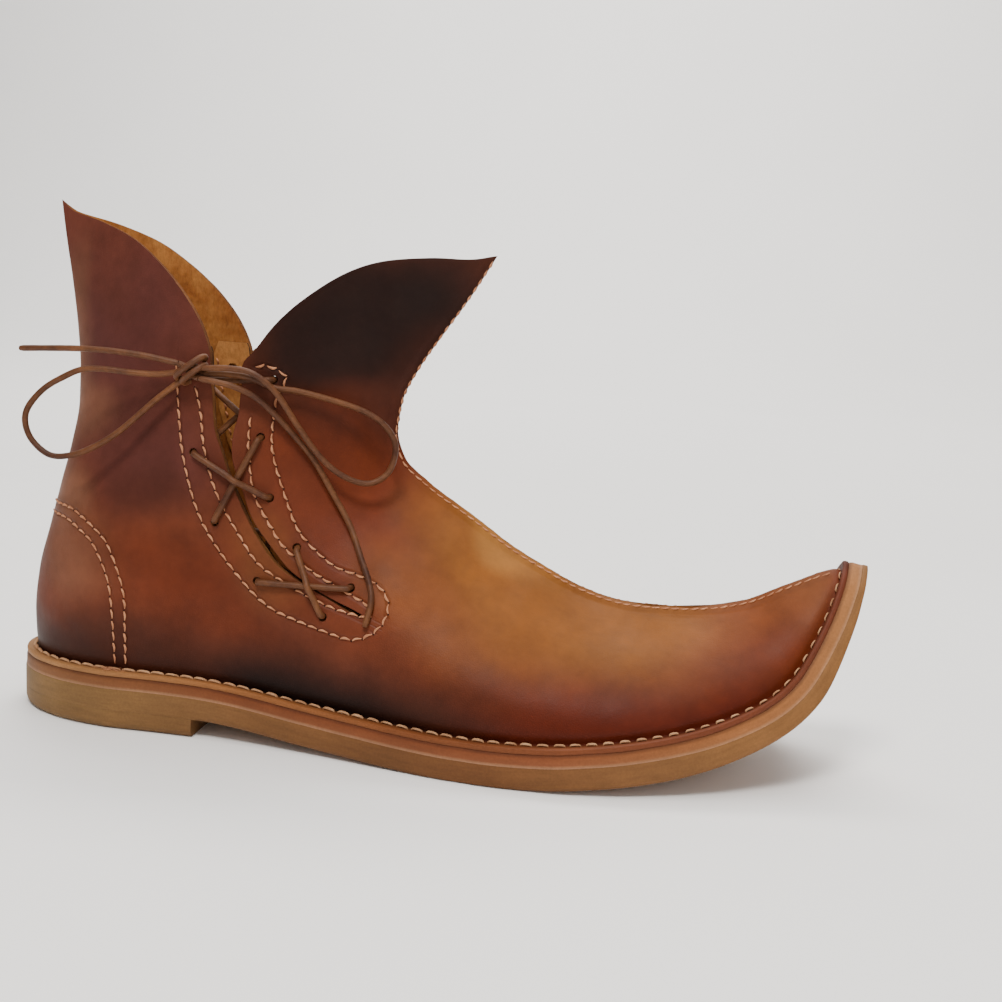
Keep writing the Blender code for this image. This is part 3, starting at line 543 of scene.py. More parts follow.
def texture(nodes, links, kind, scale, coordinates, detail=4.0, roughness=0.55, stretch=None):
    node = nodes.new("ShaderNodeTex" + kind)
    node.inputs["Scale"].default_value = scale
    if kind == "Noise":
        node.inputs["Detail"].default_value = detail
        node.inputs["Roughness"].default_value = roughness
    source = coordinates
    if stretch:
        mapping = nodes.new("ShaderNodeMapping")
        mapping.inputs["Scale"].default_value = stretch
        links.new(coordinates, mapping.inputs["Vector"])
        source = mapping.outputs["Vector"]
    links.new(source, node.inputs["Vector"])
    return node


def ramp(nodes, links, value, stops):
    node = nodes.new("ShaderNodeValToRGB")
    ends = node.color_ramp.elements
    ends[0].position, ends[0].color = stops[0][0], (*stops[0][1], 1)
    ends[1].position, ends[1].color = stops[-1][0], (*stops[-1][1], 1)
    for place, colour in stops[1:-1]:
        ends.new(place).color = (*colour, 1)
    links.new(value, node.inputs["Fac"])
    return node.outputs["Color"]


def grey(value):
    return (value, value, value)


def blend_colours(nodes, links, how, amount, first, second):
    node = nodes.new("ShaderNodeMix")
    node.data_type = "RGBA"
    node.blend_type = how
    node.inputs["Factor"].default_value = 0.0
    if isinstance(amount, float):
        node.inputs["Factor"].default_value = amount
    else:
        links.new(amount, node.inputs["Factor"])
    for socket, source in ((node.inputs[6], first), (node.inputs[7], second)):
        if isinstance(source, tuple):
            socket.default_value = (*source, 1)
        else:
            links.new(source, socket)
    return node.outputs[2]


def add_bump(nodes, links, shader, height, distance, strength=1.0, under=None, edge=None):
    node = nodes.new("ShaderNodeBump")
    node.inputs["Strength"].default_value = strength
    node.inputs["Distance"].default_value = distance
    links.new(height, node.inputs["Height"])
    if under is not None:
        links.new(under, node.inputs["Normal"])
    elif edge:
        rounded = nodes.new("ShaderNodeBevel")
        rounded.samples = 4
        rounded.inputs["Radius"].default_value = edge
        links.new(rounded.outputs["Normal"], node.inputs["Normal"])
    links.new(node.outputs["Normal"], shader.inputs["Normal"])
    return node.outputs["Normal"]


def attribute(nodes, name, socket="Color"):
    node = nodes.new("ShaderNodeAttribute")
    node.attribute_name = name
    return node.outputs[socket]


def groove(nodes, links, width):
    """1 in a narrow band along the stitch rows, 0 away from them."""
    band = nodes.new("ShaderNodeMapRange")
    band.interpolation_type = "SMOOTHSTEP"
    band.inputs["From Min"].default_value = width
    band.inputs["From Max"].default_value = 0.0
    links.new(attribute(nodes, "from_row", "Fac"), band.inputs["Value"])
    return band.outputs["Result"]


def add_math(nodes, links, operation, first, second):
    node = nodes.new("ShaderNodeMath")
    node.operation = operation
    for socket, source in zip(node.inputs, (first, second)):
        if isinstance(source, (int, float)):
            socket.default_value = source
        else:
            links.new(source, socket)
    return node.outputs[0]


def dyed_leather():
    """The outer face: hand-dyed, waxed leather; its slow colours, dyes with painted highlights and painted shade,
    come with the mesh.
    """
    made, nodes, links, shader = new_material("dyed_leather")
    here = nodes.new("ShaderNodeTexCoord").outputs["Object"]
    cloud = texture(nodes, links, "Noise", 42.0, here, 5.0, 0.6)
    mottle = texture(nodes, links, "Noise", 210.0, here, 4.0, 0.6)
    shade = ramp(nodes, links, cloud.outputs["Fac"], [(0.3, grey(0.82)), (0.5, grey(1.0)), (0.72, grey(1.14))])
    colour = blend_colours(nodes, links, "MULTIPLY", 1.0, attribute(nodes, "dyes_and_painted_light"), shade)
    fine = ramp(nodes, links, mottle.outputs["Fac"], [(0.3, grey(0.90)), (0.7, grey(1.08))])
    colour = blend_colours(nodes, links, "MULTIPLY", 0.9, colour, fine)
    # Painted shade: the colour darkens in a narrow band along the stitch rows, standing for the shade in their
    # grooves; the bumps below press the grooves in.
    rows = groove(nodes, links, 1.3)
    dark = add_math(nodes, links, "MULTIPLY", rows, 0.5)
    colour = blend_colours(nodes, links, "MULTIPLY", dark, colour, (0.45, 0.30, 0.22))
    links.new(colour, shader.inputs["Base Color"])
    gloss = texture(nodes, links, "Noise", 60.0, here, 3.0, 0.5)
    rough = ramp(nodes, links, gloss.outputs["Fac"], [(0.3, grey(0.42)), (0.7, grey(0.56))])
    links.new(rough, shader.inputs["Roughness"])
    shader.inputs["Specular IOR Level"].default_value = 0.12
    grain = texture(nodes, links, "Voronoi", 1900.0, here)
    pores = texture(nodes, links, "Noise", 2600.0, here, 2.0, 0.5)
    slow = texture(nodes, links, "Noise", 130.0, here, 3.0, 0.5)
    press = add_math(nodes, links, "MULTIPLY", rows, -1.0)
    first = add_bump(nodes, links, shader, slow.outputs["Fac"], 0.0005, 0.35, edge=0.0004)
    second = add_bump(nodes, links, shader, press, 0.00035, 0.8, under=first)
    third = add_bump(nodes, links, shader, grain.outputs["Distance"], 0.00008, 0.35, under=second)
    add_bump(nodes, links, shader, pores.outputs["Fac"], 0.00006, 0.35, under=third)
    return made


def suede(name, dark, light, sheen=0.12, cut=False):
    """The flesh side of leather: matt, fibrous, patchy; with cut, a loose piece's edge-on faces are darkened,
    painted shade.
    """
    made, nodes, links, shader = new_material(name)
    here = nodes.new("ShaderNodeTexCoord").outputs["Object"]
    patch = texture(nodes, links, "Noise", 55.0, here, 6.0, 0.65)
    fibre = texture(nodes, links, "Noise", 900.0, here, 5.0, 0.7, (1.0, 1.0, 0.45))
    colour = ramp(nodes, links, patch.outputs["Fac"], [(0.32, dark), (0.62, light)])
    fine = ramp(nodes, links, fibre.outputs["Fac"], [(0.3, grey(0.72)), (0.7, grey(1.18))])
    colour = blend_colours(nodes, links, "MULTIPLY", 1.0, colour, fine)
    # Painted shade on faces seen edge-on, the piece's cut edges.
    if cut:
        apart = nodes.new("ShaderNodeSeparateXYZ")
        links.new(nodes.new("ShaderNodeNewGeometry").outputs["True Normal"], apart.inputs[0])
        flat = add_math(nodes, links, "MULTIPLY", apart.outputs["Y"], apart.outputs["Y"])
        edge = ramp(nodes, links, flat, [(0.15, grey(0.12)), (0.4, grey(1.0))])
        colour = blend_colours(nodes, links, "MULTIPLY", 1.0, colour, edge)
    links.new(colour, shader.inputs["Base Color"])
    shader.inputs["Roughness"].default_value = 0.92
    shader.inputs["Specular IOR Level"].default_value = 0.08
    shader.inputs["Sheen Weight"].default_value = sheen
    shader.inputs["Sheen Roughness"].default_value = 0.5
    add_bump(nodes, links, shader, fibre.outputs["Fac"], 0.0003, 0.6, edge=0.0003)
    return made


def edge_leather(name, contrast, depth):
    """Trimmed edges of sole leather: faint layers that follow the sole, over its vertex colours, dyes and, on the
    midsole, a painted rim highlight.
    """
    made, nodes, links, shader = new_material(name)
    here = nodes.new("ShaderNodeTexCoord").outputs["Object"]
    along = attribute(nodes, "run", "Vector")
    layers = texture(nodes, links, "Noise", 90.0, along, 5.0, 0.6, (1.0, 1.0, 9.0))
    patch = texture(nodes, links, "Noise", 30.0, here, 4.0, 0.6)
    dots = texture(nodes, links, "Noise", 1300.0, here, 3.0, 0.6)
    tone = ramp(nodes, links, layers.outputs["Fac"], [(0.3, grey(1 - contrast)), (0.7, grey(1 + contrast / 2))])
    base = blend_colours(nodes, links, "MULTIPLY", 1.0, attribute(nodes, "dyes_and_painted_light"), tone)
    wide = ramp(nodes, links, patch.outputs["Fac"], [(0.3, grey(0.84)), (0.7, grey(1.12))])
    base = blend_colours(nodes, links, "MULTIPLY", 1.0, base, wide)
    fine = ramp(nodes, links, dots.outputs["Fac"], [(0.3, grey(0.88)), (0.7, grey(1.08))])
    base = blend_colours(nodes, links, "MULTIPLY", 1.0, base, fine)
    links.new(base, shader.inputs["Base Color"])
    shader.inputs["Roughness"].default_value = 0.6
    shader.inputs["Specular IOR Level"].default_value = 0.2
    first = add_bump(nodes, links, shader, layers.outputs["Fac"], depth, 0.4, edge=0.0004)
    add_bump(nodes, links, shader, dots.outputs["Fac"], 0.0001, 0.4, under=first)
    return made


def cord_material(name, dark, light, roughness, scale, bump):
    made, nodes, links, shader = new_material(name)
    here = nodes.new("ShaderNodeTexCoord").outputs["Object"]
    patch = texture(nodes, links, "Noise", scale, here, 5.0, 0.65)
    fine = texture(nodes, links, "Noise", scale * 14, here, 3.0, 0.6)
    colour = ramp(nodes, links, patch.outputs["Fac"], [(0.3, dark), (0.68, light)])
    tone = ramp(nodes, links, fine.outputs["Fac"], [(0.3, grey(0.8)), (0.7, grey(1.12))])
    colour = blend_colours(nodes, links, "MULTIPLY", 1.0, colour, tone)
    links.new(colour, shader.inputs["Base Color"])
    shader.inputs["Roughness"].default_value = roughness
    shader.inputs["Specular IOR Level"].default_value = 0.22
    add_bump(nodes, links, shader, fine.outputs["Fac"], bump, 0.5)
    return made


# Colours (linear) by their names: dyes, and the colours of painted highlights and painted shade
NAMED_COLOURS = {
    "brown": (0.112, 0.027, 0.0115), "plum": (0.074, 0.0215, 0.0175), "pale": (0.182, 0.076, 0.040),
    "gold": (0.192, 0.061, 0.0065), "amber": (0.190, 0.052, 0.009), "russet": (0.110, 0.019, 0.005),
    "oxblood": (0.078, 0.010, 0.0030), "burnt": (0.0080, 0.0028, 0.0020), "umber": (0.034, 0.0078, 0.0034),
    "tan": (0.190, 0.066, 0.020), "fin_shade": (0.0125, 0.0036, 0.0020), "vamp_highlight": (0.370, 0.160, 0.036),
    "rim_highlight": (0.400, 0.220, 0.120),
}
# The dyer's layers in the side view, from the first to the last, with painted highlights and painted shade among
# them
PATINA_AND_PAINTED_LIGHT = [
    # dye, x, z, reach along x, reach along z, tilt, strength
    ("plum", -6, 142, 44, 46, 0, 0.95),
    ("brown", -12, 165, 20, 22, 0, 0.35),
    ("plum", 14, 94, 26, 17, 10, 0.8),
    ("umber", 15, 84, 15, 10, 6, 0.55),
    ("russet", 88, 86, 30, 34, 30, 0.8),
    ("russet", 40, 48, 34, 14, -8, 0.55),
    # The vamp's gold: its dye, partly a painted highlight on the vamp's top.
    ("gold", 172, 50, 60, 18, -12, 1.0),
    ("gold", 124, 70, 28, 13, -46, 0.95),
    ("amber", 112, 54, 24, 11, -38, 0.6),
    ("amber", 224, 50, 22, 12, 30, 0.85),
    ("brown", 78, 50, 34, 12, -26, 0.7),
    ("tan", 58, 66, 16, 12, -52, 0.35),
    ("tan", 244, 62, 13, 11, 50, 0.45),
    # Painted highlight: a light streak along the vamp's top.
    ("vamp_highlight", 134, 72, 22, 5, -38, 0.58),
    ("russet", 228, 46, 18, 11, 26, 0.85),
    # Painted highlight: pale sheen down the heel's back edge, in the next four rows.
    ("pale", -24, 126, 9, 34, 0, 0.75),
    ("pale", -14, 108, 12, 9, 0, 0.5),
    ("pale", -22, 80, 12, 12, 0, 0.75),
    ("pale", -14, 58, 16, 15, 0, 0.5),
    ("russet", 26, 60, 22, 13, 0, 0.45),
    # Painted shade and painted dark reflection: the next three rows darken the front fin to near black at its top.
    ("umber", 92, 142, 44, 26, 4, 1.0),
    ("fin_shade", 92, 152, 40, 21, 6, 1.0),
    ("fin_shade", 72, 138, 24, 17, 10, 0.85),
    ("russet", 72, 108, 20, 13, 20, 0.55),
    ("umber", 104, 124, 12, 22, -24, 0.7),
    ("umber", 78, 112, 20, 9, 0, 0.35),
]
# Depth of the dark band over the welt, partly burnished dye and partly painted shade low on the wall, and its
# colours
BAND = [
    # s, reach
    (0, 15), (40, 20), (85, 15), (115, 16), (150, 15), (200, 18), (225, 18), (250, 17), (270, 15),
    (286, 9), (300, 5), (334, 3),
]
WELT_BAND_DYE_AND_SHADE = [
    # s, dye
    (0, "umber"), (45, "umber"), (80, "umber"), (98, "burnt"), (135, "burnt"), (165, "umber"),
    (195, "oxblood"), (265, "oxblood"), (300, "russet"), (334, "russet"),
]
# Dyes along the trimmed edges of the sole, from heel to toe
SOLE_DYES = {
    "flange": [(0, (0.320, 0.155, 0.058)), (90, (0.235, 0.088, 0.026)), (150, (0.165, 0.050, 0.014)),
               (240, (0.135, 0.034, 0.011)), (334, (0.105, 0.022, 0.009))],
    "midsole": [(0, (0.190, 0.078, 0.026)), (90, (0.150, 0.042, 0.013)), (200, (0.185, 0.052, 0.017)),
                (260, (0.270, 0.098, 0.030)), (334, (0.340, 0.140, 0.045))],
    "outsole": [(0, (0.205, 0.115, 0.040)), (100, (0.160, 0.070, 0.023)), (180, (0.135, 0.052, 0.016)),
                (250, (0.205, 0.090, 0.028)), (334, (0.230, 0.100, 0.030))],
}


# Rims of the midsole, from its lowest level to its highest: the low rims lighten, a painted highlight along its
# lower edge; the top rims darken towards the flange
MIDSOLE_RIMS = [("rim_highlight", 0.6), ("rim_highlight", 0.42), ("rim_highlight", 0.05), ("umber", 0.0), ("umber", 0.4), ("umber", 0.6)]


def along(stops, s):
    """Colours at arc lengths, between the colours of the stops."""
    at = [stop[0] for stop in stops]
    found = np.array([NAMED_COLOURS[stop[1]] if isinstance(stop[1], str) else stop[1] for stop in stops])
    return np.stack([np.interp(s, at, found[:, k]) for k in range(3)], axis=-1)


def dyes_and_painted_light(points):
    """Vertex colours of the outer face: dyes, painted highlights and painted shade."""
    x, z = points[:, 0], points[:, 2]
    s, height = on_sheet(x, z)
    sway = np.empty((len(x), 3))
    for i, point in enumerate(points):
        spot = Vector(point / 26)
        sway[i] = (noise.noise(spot), noise.noise(spot + Vector((11, 5, 3))),
                   noise.fractal(spot * 1.3 + Vector((2, 8, 1)), 0.8, 2.0, 4))
    colour = np.tile(NAMED_COLOURS["brown"], (len(x), 1))
    wx, wz = x + 7 * sway[:, 0], z + 6 * sway[:, 1]
    for dye, px, pz, rx, rz, tilt, strength in PATINA_AND_PAINTED_LIGHT:
        c, n = math.cos(math.radians(tilt)), math.sin(math.radians(tilt))
        dx, dz = wx - px, wz - pz
        across = (np.abs((dx * c + dz * n) / rx) ** 2.4 + np.abs((dz * c - dx * n) / rz) ** 2.4) ** (1 / 2.4)
        amount = (strength * (1 - fade(0.3, 1.5, across)))[:, None]
        colour = colour * (1 - amount) + np.array(NAMED_COLOURS[dye]) * amount
    # Painted shade, with dye: the wall darkens towards the welt.
    reach = table(BAND, 1, s) * (1 + 0.25 * sway[:, 0])
    low = (1 - fade(0.25, 1.75, height / reach))[:, None]
    colour = colour * (1 - low) + along(WELT_BAND_DYE_AND_SHADE, s) * low
    return colour * (1 + 0.14 * np.clip(sway[:, 2], -1, 1))[:, None]


def lay_vertex_colours(mesh, colours, run):
    """Keep the colours, and the way that the leather runs, with the mesh's vertices."""
    layer = mesh.color_attributes.new("dyes_and_painted_light", "FLOAT_COLOR", "POINT")
    layer.data.foreach_set("color", np.hstack([colours, np.ones((len(colours), 1))]).ravel())
    layer = mesh.attributes.new("run", "FLOAT_VECTOR", "POINT")
    layer.data.foreach_set("vector", (np.asarray(run, float) * MM).ravel())


def vertices(mesh):
    points = np.empty(len(mesh.vertices) * 3)
    mesh.vertices.foreach_get("co", points)
    return points.reshape(-1, 3) / MM


# Upper


def waver(s, side, size=0.28):
    """Small unevenness of a hand-cut edge, in millimetres."""
    return size * np.array([
        noise.noise(Vector((v / 13, side * 5.0, 1.0))) + 0.5 * noise.noise(Vector((v / 4.5, side * 3.0, 7.0)))
        for v in np.atleast_1d(s)
    ])


SEAM_COLUMNS = [
    # distance from the ridge along the leather, share of the seam's rise
    (SEAM_HALF + 1.2, 0.0), (SEAM_HALF + 0.35, 0.30), (SEAM_HALF - 0.1, 0.85), (SEAM_HALF - 0.7, 1.0),
    (1.6, 0.95), (0.7, 1.0), (0.28, 0.85), (0.0, 0.35),
]
COLUMNS = 122
OUTER_HEIGHTS = np.concatenate([[1.9, 2.3, 2.9, 3.7, 4.7], np.arange(5.9, TOP_H - 1, 1.35), [TOP_H]])
INNER_HEIGHTS = np.concatenate([[GAP, 2.5], np.arange(6, TOP_H - 3, 4.2), [TOP_H]])


def outer_row(height, side):
    back = float(table(BACK, 1, height))
    marks = [seam_s(height, d) for d, _ in SEAM_COLUMNS]
    s = np.append(back + (marks[0] - back) * spread(COLUMNS), marks[1:])
    width = half_width(s, height, side)
    flat = upper_point(s, 0.0, height)
    stand = bulge(flat[:, 0], flat[:, 2], side) * np.clip(width / 14, 0, 1) * fade(2.5, 9, height)
    pinch = 0.55 * math.exp(-((height - 2.6) / 1.6) ** 2)
    points = upper_point(s, side * np.maximum(width + stand - pinch * np.clip(width / 6, 0, 1), 0), height)
    i = int(np.clip(round(height / 175 * 700), 1, 699))
    along = _front_line[i + 1] - _front_line[i - 1]
    lift = np.array([along[1], -along[0]]) / np.linalg.norm(along)
    rise = SEAM_RISE * float(fade(2.5, 9, height))
    for k, (_, share) in enumerate(SEAM_COLUMNS):
        points[COLUMNS - 1 + k, 0] += rise * share * lift[0]
        points[COLUMNS - 1 + k, 2] += rise * share * lift[1]
    return points


def inner_row(height, side):
    count = COLUMNS + len(SEAM_COLUMNS) - 1
    back = float(table(BACK, 1, height)) + WALL
    front = front_s(height, 1.35 * WALL)
    s = back + (front - back) * spread(count)
    width = half_width(s, height, side, WALL)
    flat = upper_point(s, 0.0, height)
    stand = waves(flat[:, 0], flat[:, 2], side) * 0.28 * np.clip(width / 14, 0, 1) * fade(2.5, 9, height)
    return upper_point(s, side * np.maximum(width + stand, 0), height)


def flange_row(height, side, inset, rim=0.0):
    edge = sole_edge(side, inset)
    marks = [seam_s(0.0, d) for d, _ in SEAM_COLUMNS]
    back = float(table(BACK, 1, 0))
    s = np.append(back + (marks[0] - back) * spread(COLUMNS), marks[1:])
    ease = waver(s, side)
    line = FOOT[side]
    moved = np.stack([np.interp(s, line[:, 0], edge[:, k]) for k in (0, 1)], axis=1)
    push = np.stack([np.interp(s, line[:, 0], FOOT_OUT[side][:, k]) for k in (0, 1)], axis=1)
    calm = np.clip(np.minimum(s - back, 322 - s) / 12, 0, 1)
    moved = moved + push * (ease * calm - 0.3)[:, None]
    moved[:, 1] = np.maximum(moved[:, 1], 0)
    up = height + rim * ease * calm
    return sole_point(moved[:, 0], side * moved[:, 1], up)


def halfway(first, second, share, height_share):
    middle = first + (second - first) * share
    middle[:, 2] = first[:, 2] + (second[:, 2] - first[:, 2]) * height_share
    return middle


def lapped(line):
    """An edge of the slit, carried a little over the facing behind it."""
    line = np.array(line)
    run = np.gradient(line, axis=0)
    run /= np.linalg.norm(run, axis=1)[:, None]
    reach = SLIT_LAP * (1 - fade(116, 126, line[:, 1])) * (1 - fade(76, 92, line[:, 0]))
    return line + np.stack([-run[:, 1], run[:, 0]], axis=1) * reach[:, None]


def build_upper(materials):
    rows = []
    pair = (LATERAL, MEDIAL)
    rows.append([flange_row(GAP, side, 0.5) for side in pair])
    rows.append([flange_row(GAP + 0.35, side, 0.2) for side in pair])
    rows.append([flange_row(GAP + 1.2, side, 0.15) for side in pair])
    rows.append([flange_row(GAP + 1.7, side, 0.35, 0.3) for side in pair])
    rows.append([flange_row(GAP + 1.95, side, 0.9, 0.3) for side in pair])
    first_wall = [outer_row(OUTER_HEIGHTS[0], side) for side in pair]
    top = rows[-1]
    rows.append([halfway(top[k], first_wall[k], 0.3, 0.35) for k in (0, 1)])
    rows.append([halfway(top[k], first_wall[k], 0.65, 0.9) for k in (0, 1)])
    rows.append(first_wall)
    rows += [[outer_row(h, side) for side in pair] for h in OUTER_HEIGHTS[1:]]
    rows += [[inner_row(h, side) for side in pair] for h in INNER_HEIGHTS[::-1]]
    columns = COLUMNS + len(SEAM_COLUMNS) - 1
    loop = 2 * columns - 2
    points = np.vstack([np.vstack([lateral, medial[-2:0:-1]]) for lateral, medial in rows])
    faces = []
    for r in range(len(rows)):
        a, b = r * loop, (r + 1) % len(rows) * loop
        for c in range(loop):
            d = (c + 1) % loop
            faces.append((a + c, a + d, b + d, b + c))
    piece = add_mesh("upper_leather", points, faces, materials[:1])
    collar = np.vstack([
        lapped(smooth_route(COLLAR_REAR + SLIT_REAR, 1.6)),
        smooth_route([SLIT_REAR[-1], (94.0, 48.2), SLIT_FRONT[0]], 0.5)[1:-1],
        lapped(smooth_route(SLIT_FRONT + COLLAR_FRONT, 1.6)),
    ])
    outline = [(-60, 186.0)] + [tuple(p) for p in collar] + [(160, 172), (160, 230), (-60, 230)]
    punches = []
    for centre in HOLES.values():
        turns = [2 * math.pi * k / 20 for k in range(20)]
        punches.append([(centre[0] + PUNCH_RADIUS * math.cos(t), centre[1] + PUNCH_RADIUS * math.sin(t))
                        for t in turns])
    cutters = [prism("cut_collar", [outline]), prism("cut_holes", punches)]
    piece = carve(piece, cutters)
    finish_upper(piece, materials)
    return piece


def prism(name, outlines, y_low=-70, y_high=70):
    mesh = bpy.data.meshes.new(name)
    work = bmesh.new()
    for outline in outlines:
        near = [work.verts.new((x * MM, y_low * MM, z * MM)) for x, z in outline]
        face = work.faces.new(near)
        drawn = bmesh.ops.extrude_face_region(work, geom=[face])
        moved = [v for v in drawn["geom"] if isinstance(v, bmesh.types.BMVert)]
        bmesh.ops.translate(work, verts=moved, vec=(0, (y_high - y_low) * MM, 0))
    bmesh.ops.recalc_face_normals(work, faces=work.faces)
    work.to_mesh(mesh)
    work.free()
    made = bpy.data.objects.new(name, mesh)
    bpy.context.scene.collection.objects.link(made)
    return made


def carve(piece, cutters, operation="DIFFERENCE"):
    """The piece cut by the cutters, as plain mesh; the cutters go away."""
    for cutter in cutters:
        step = piece.modifiers.new("cut", "BOOLEAN")
        step.operation = operation
        step.solver = "EXACT"
        step.object = cutter
    depsgraph = bpy.context.evaluated_depsgraph_get()
    mesh = bpy.data.meshes.new_from_object(piece.evaluated_get(depsgraph))
    piece.modifiers.clear()
    old = piece.data
    piece.data = mesh
    bpy.data.meshes.remove(old)
    for cutter in cutters:
        bpy.data.objects.remove(cutter, do_unlink=True)
    return piece


def finish_upper(piece, materials):
    """Sort the faces into outer face, flesh side, cut edge and flange, and lay the vertex colours on: dyes with
    painted highlights and painted shade.
    """
    mesh = piece.data
    mesh.materials.clear()
    for made in materials:
        mesh.materials.append(made)
    points = vertices(mesh)
    centres = np.empty(len(mesh.polygons) * 3)
    mesh.polygons.foreach_get("center", centres)
    centres = centres.reshape(-1, 3) / MM
    normals = np.empty(len(mesh.polygons) * 3)
    mesh.polygons.foreach_get("normal", normals)
    normals = normals.reshape(-1, 3)
    s, height = on_sheet(centres[:, 0], centres[:, 2])
    wide = np.where(centres[:, 1] < 0, half_width(s, height, LATERAL), half_width(s, height, MEDIAL))
    back = s - table(BACK, 1, height)
    depth = wide - np.abs(centres[:, 1])
    shallow = np.minimum(np.minimum(depth, ridge_distance(s, height)), back)
    index = np.where(shallow > 1.25, 1, 0)
    inwards = (shallow > 0.8) & (normals[:, 1] * np.sign(centres[:, 1]) < -0.15)
    index = np.where(inwards | ((height < 2.6) & (normals[:, 2] < -0.3)), 1, index)
    # The cut edges take the third material, whose dark colour is painted shade.
    flat_cut = (np.abs(normals[:, 1]) < 0.3) & (height > 20) & (shallow > 0.15) & (shallow < 1.9)
    index = np.where(flat_cut, 2, index)
    flange = (height < 3.2) & (np.abs(centres[:, 1]) > wide + 0.2)
    flange |= (height < 2.6) & ((back < -0.3) | (s > 322.6))
    index = np.where(flange, 3, index)
    mesh.polygons.foreach_set("material_index", index.astype(np.int32))
    s, height = on_sheet(points[:, 0], points[:, 2])
    colours = dyes_and_painted_light(points)
    wide = np.where(points[:, 1] < 0, half_width(s, height, LATERAL), half_width(s, height, MEDIAL))
    turned = (height < 3.2) & ((np.abs(points[:, 1]) > wide + 0.1) | (s < table(BACK, 1, height)) | (s > 322))
    out = np.clip((np.abs(points[:, 1]) - wide) / 4, 0, 1)[:, None]
    edge = along(SOLE_DYES["flange"], s) * (0.72 + 0.36 * out)
    colours = np.where(turned[:, None], edge, colours)
    lay_vertex_colours(mesh, colours, np.stack([s, points[:, 1], height], axis=1))
    away = np.full(len(points), 3.0)
    near = (points[:, 0] < 108) & (points[:, 2] > 18) & (points[:, 2] < 136)
    lines = np.vstack([densely(row) for row in ROWS])
    away[near] = np.minimum(nearest(points[near][:, [0, 2]], lines), 3.0)
    layer = mesh.attributes.new("from_row", "FLOAT", "POINT")
    layer.data.foreach_set("value", away)
    mesh.shade_smooth()
    mesh.set_sharp_from_angle(angle=math.radians(38))


# Stitches

COLLAR = [(-60, 186.0)] + COLLAR_REAR + SLIT_REAR + SLIT_FRONT + COLLAR_FRONT + [(160, 172), (160, 230), (-60, 230)]
COLLAR_EDGE = np.array(smooth_route(COLLAR_REAR + SLIT_REAR + SLIT_FRONT + COLLAR_FRONT, 0.5))
# A saddle stitch: thick where it comes up, thin where it goes down into the next hole
SADDLE = [
    # share of its length, size, height and sideways sway in thread radii
    (0.0, 0.3, -1.3, 1.5), (0.06, 0.6, -0.2, 1.3), (0.18, 0.95, 0.45, 0.6), (0.34, 1.12, 0.6, -0.05),
    (0.52, 0.98, 0.5, -0.3), (0.72, 0.66, 0.25, -0.25), (0.9, 0.42, -0.2, 0.0), (1.0, 0.28, -1.3, 0.1),
]
# A welt stitch: an even, flat length of thick thread
LOCK = [
    (0.0, 0.4, -1.2, 0), (0.05, 0.8, -0.2, 0.1), (0.2, 1.0, 0.25, -0.1), (0.5, 1.08, 0.35, 0),
    (0.8, 0.95, 0.22, 0.1), (0.95, 0.7, -0.2, 0), (1.0, 0.4, -1.2, 0),
]
# A flat dark disc where a stitch starts, painted shade standing for the needle's hole
PINHOLE_SHADE = [(0.0, 0.2, 0.1, 0), (0.3, 0.9, 0.1, 0), (0.7, 0.9, 0.1, 0), (1.0, 0.2, 0.1, 0)]


def threads(name, stitches, radius, flat, material, profile, sides=6):
    """One mesh of stitches, each with its ends, the leather's normal there and its own size."""
    points, faces = [], []
    for a, b, up, size in stitches:
        run = b - a
        across = np.cross(run, up)
        across /= np.linalg.norm(across)
        lift = np.cross(across, run)
        lift /= np.linalg.norm(lift)
        base = len(points)
        for share, width, height, sway in profile:
            centre = a + run * share + (lift * height + across * sway) * radius * size
            for k in range(sides):
                t = 2 * math.pi * k / sides
                points.append(centre + across * math.cos(t) * radius * size * width
                              + lift * math.sin(t) * radius * size * width * flat)
        for r in range(len(profile) - 1):
            for k in range(sides):
                n = (k + 1) % sides
                i = base + r * sides
                faces.append((i + k, i + n, i + sides + n, i + sides + k))
        faces.append(tuple(base + k for k in range(sides)))
        faces.append(tuple(base + (len(profile) - 1) * sides + k for k in range(sides)))
    return add_mesh(name, points, faces, [material], 70)


def sewn(route, pitch, length, slant, rng):
    """Stitches along a route whose rows are points and the leather's normals."""
    along_it = np.concatenate([[0], np.cumsum(np.linalg.norm(np.diff(route[:, :3], axis=0), axis=1))])
    count = int(along_it[-1] // pitch)
    stitches = []
    for t in np.arange(count) * along_it[-1] / max(count, 1):
        t += rng.uniform(-0.2, 0.2)
        size = rng.uniform(0.82, 1.12)
        ends = [np.array([np.interp(v, along_it, route[:, k]) for k in range(6)]) for v in (t, t + length)]
        up = (ends[0][3:] + ends[1][3:]) / 2
        off = np.cross(ends[1][:3] - ends[0][:3], up)
        off *= slant * rng.uniform(0.7, 1.3) / max(np.linalg.norm(off), 1e-6)
        stitches.append((ends[0][:3] - off, ends[1][:3] + off, up, size))
    return stitches


def side_route(row, side, depth=0.0):
    """A row of the side view on the outer face, or under it by a depth on the inner face."""
    line = smooth_route(row, 0.6)
    s, height = on_sheet(line[:, 0], line[:, 1])
    on_it = (s - table(BACK, 1, height) > 1.2) & ~inside(line, np.array(COLLAR))
    on_it &= nearest(line, COLLAR_EDGE) > 1.2
    line = line[on_it]
    points, normals = skin_point(line[:, 0], line[:, 1], side)
    if depth:
        return np.hstack([points - normals * depth, -normals])
    rise = bulge(line[:, 0], line[:, 1], side) * np.clip(np.abs(points[:, 1]) / 14, 0, 1)
    points[:, 1] += side * rise
    return np.hstack([points, normals])


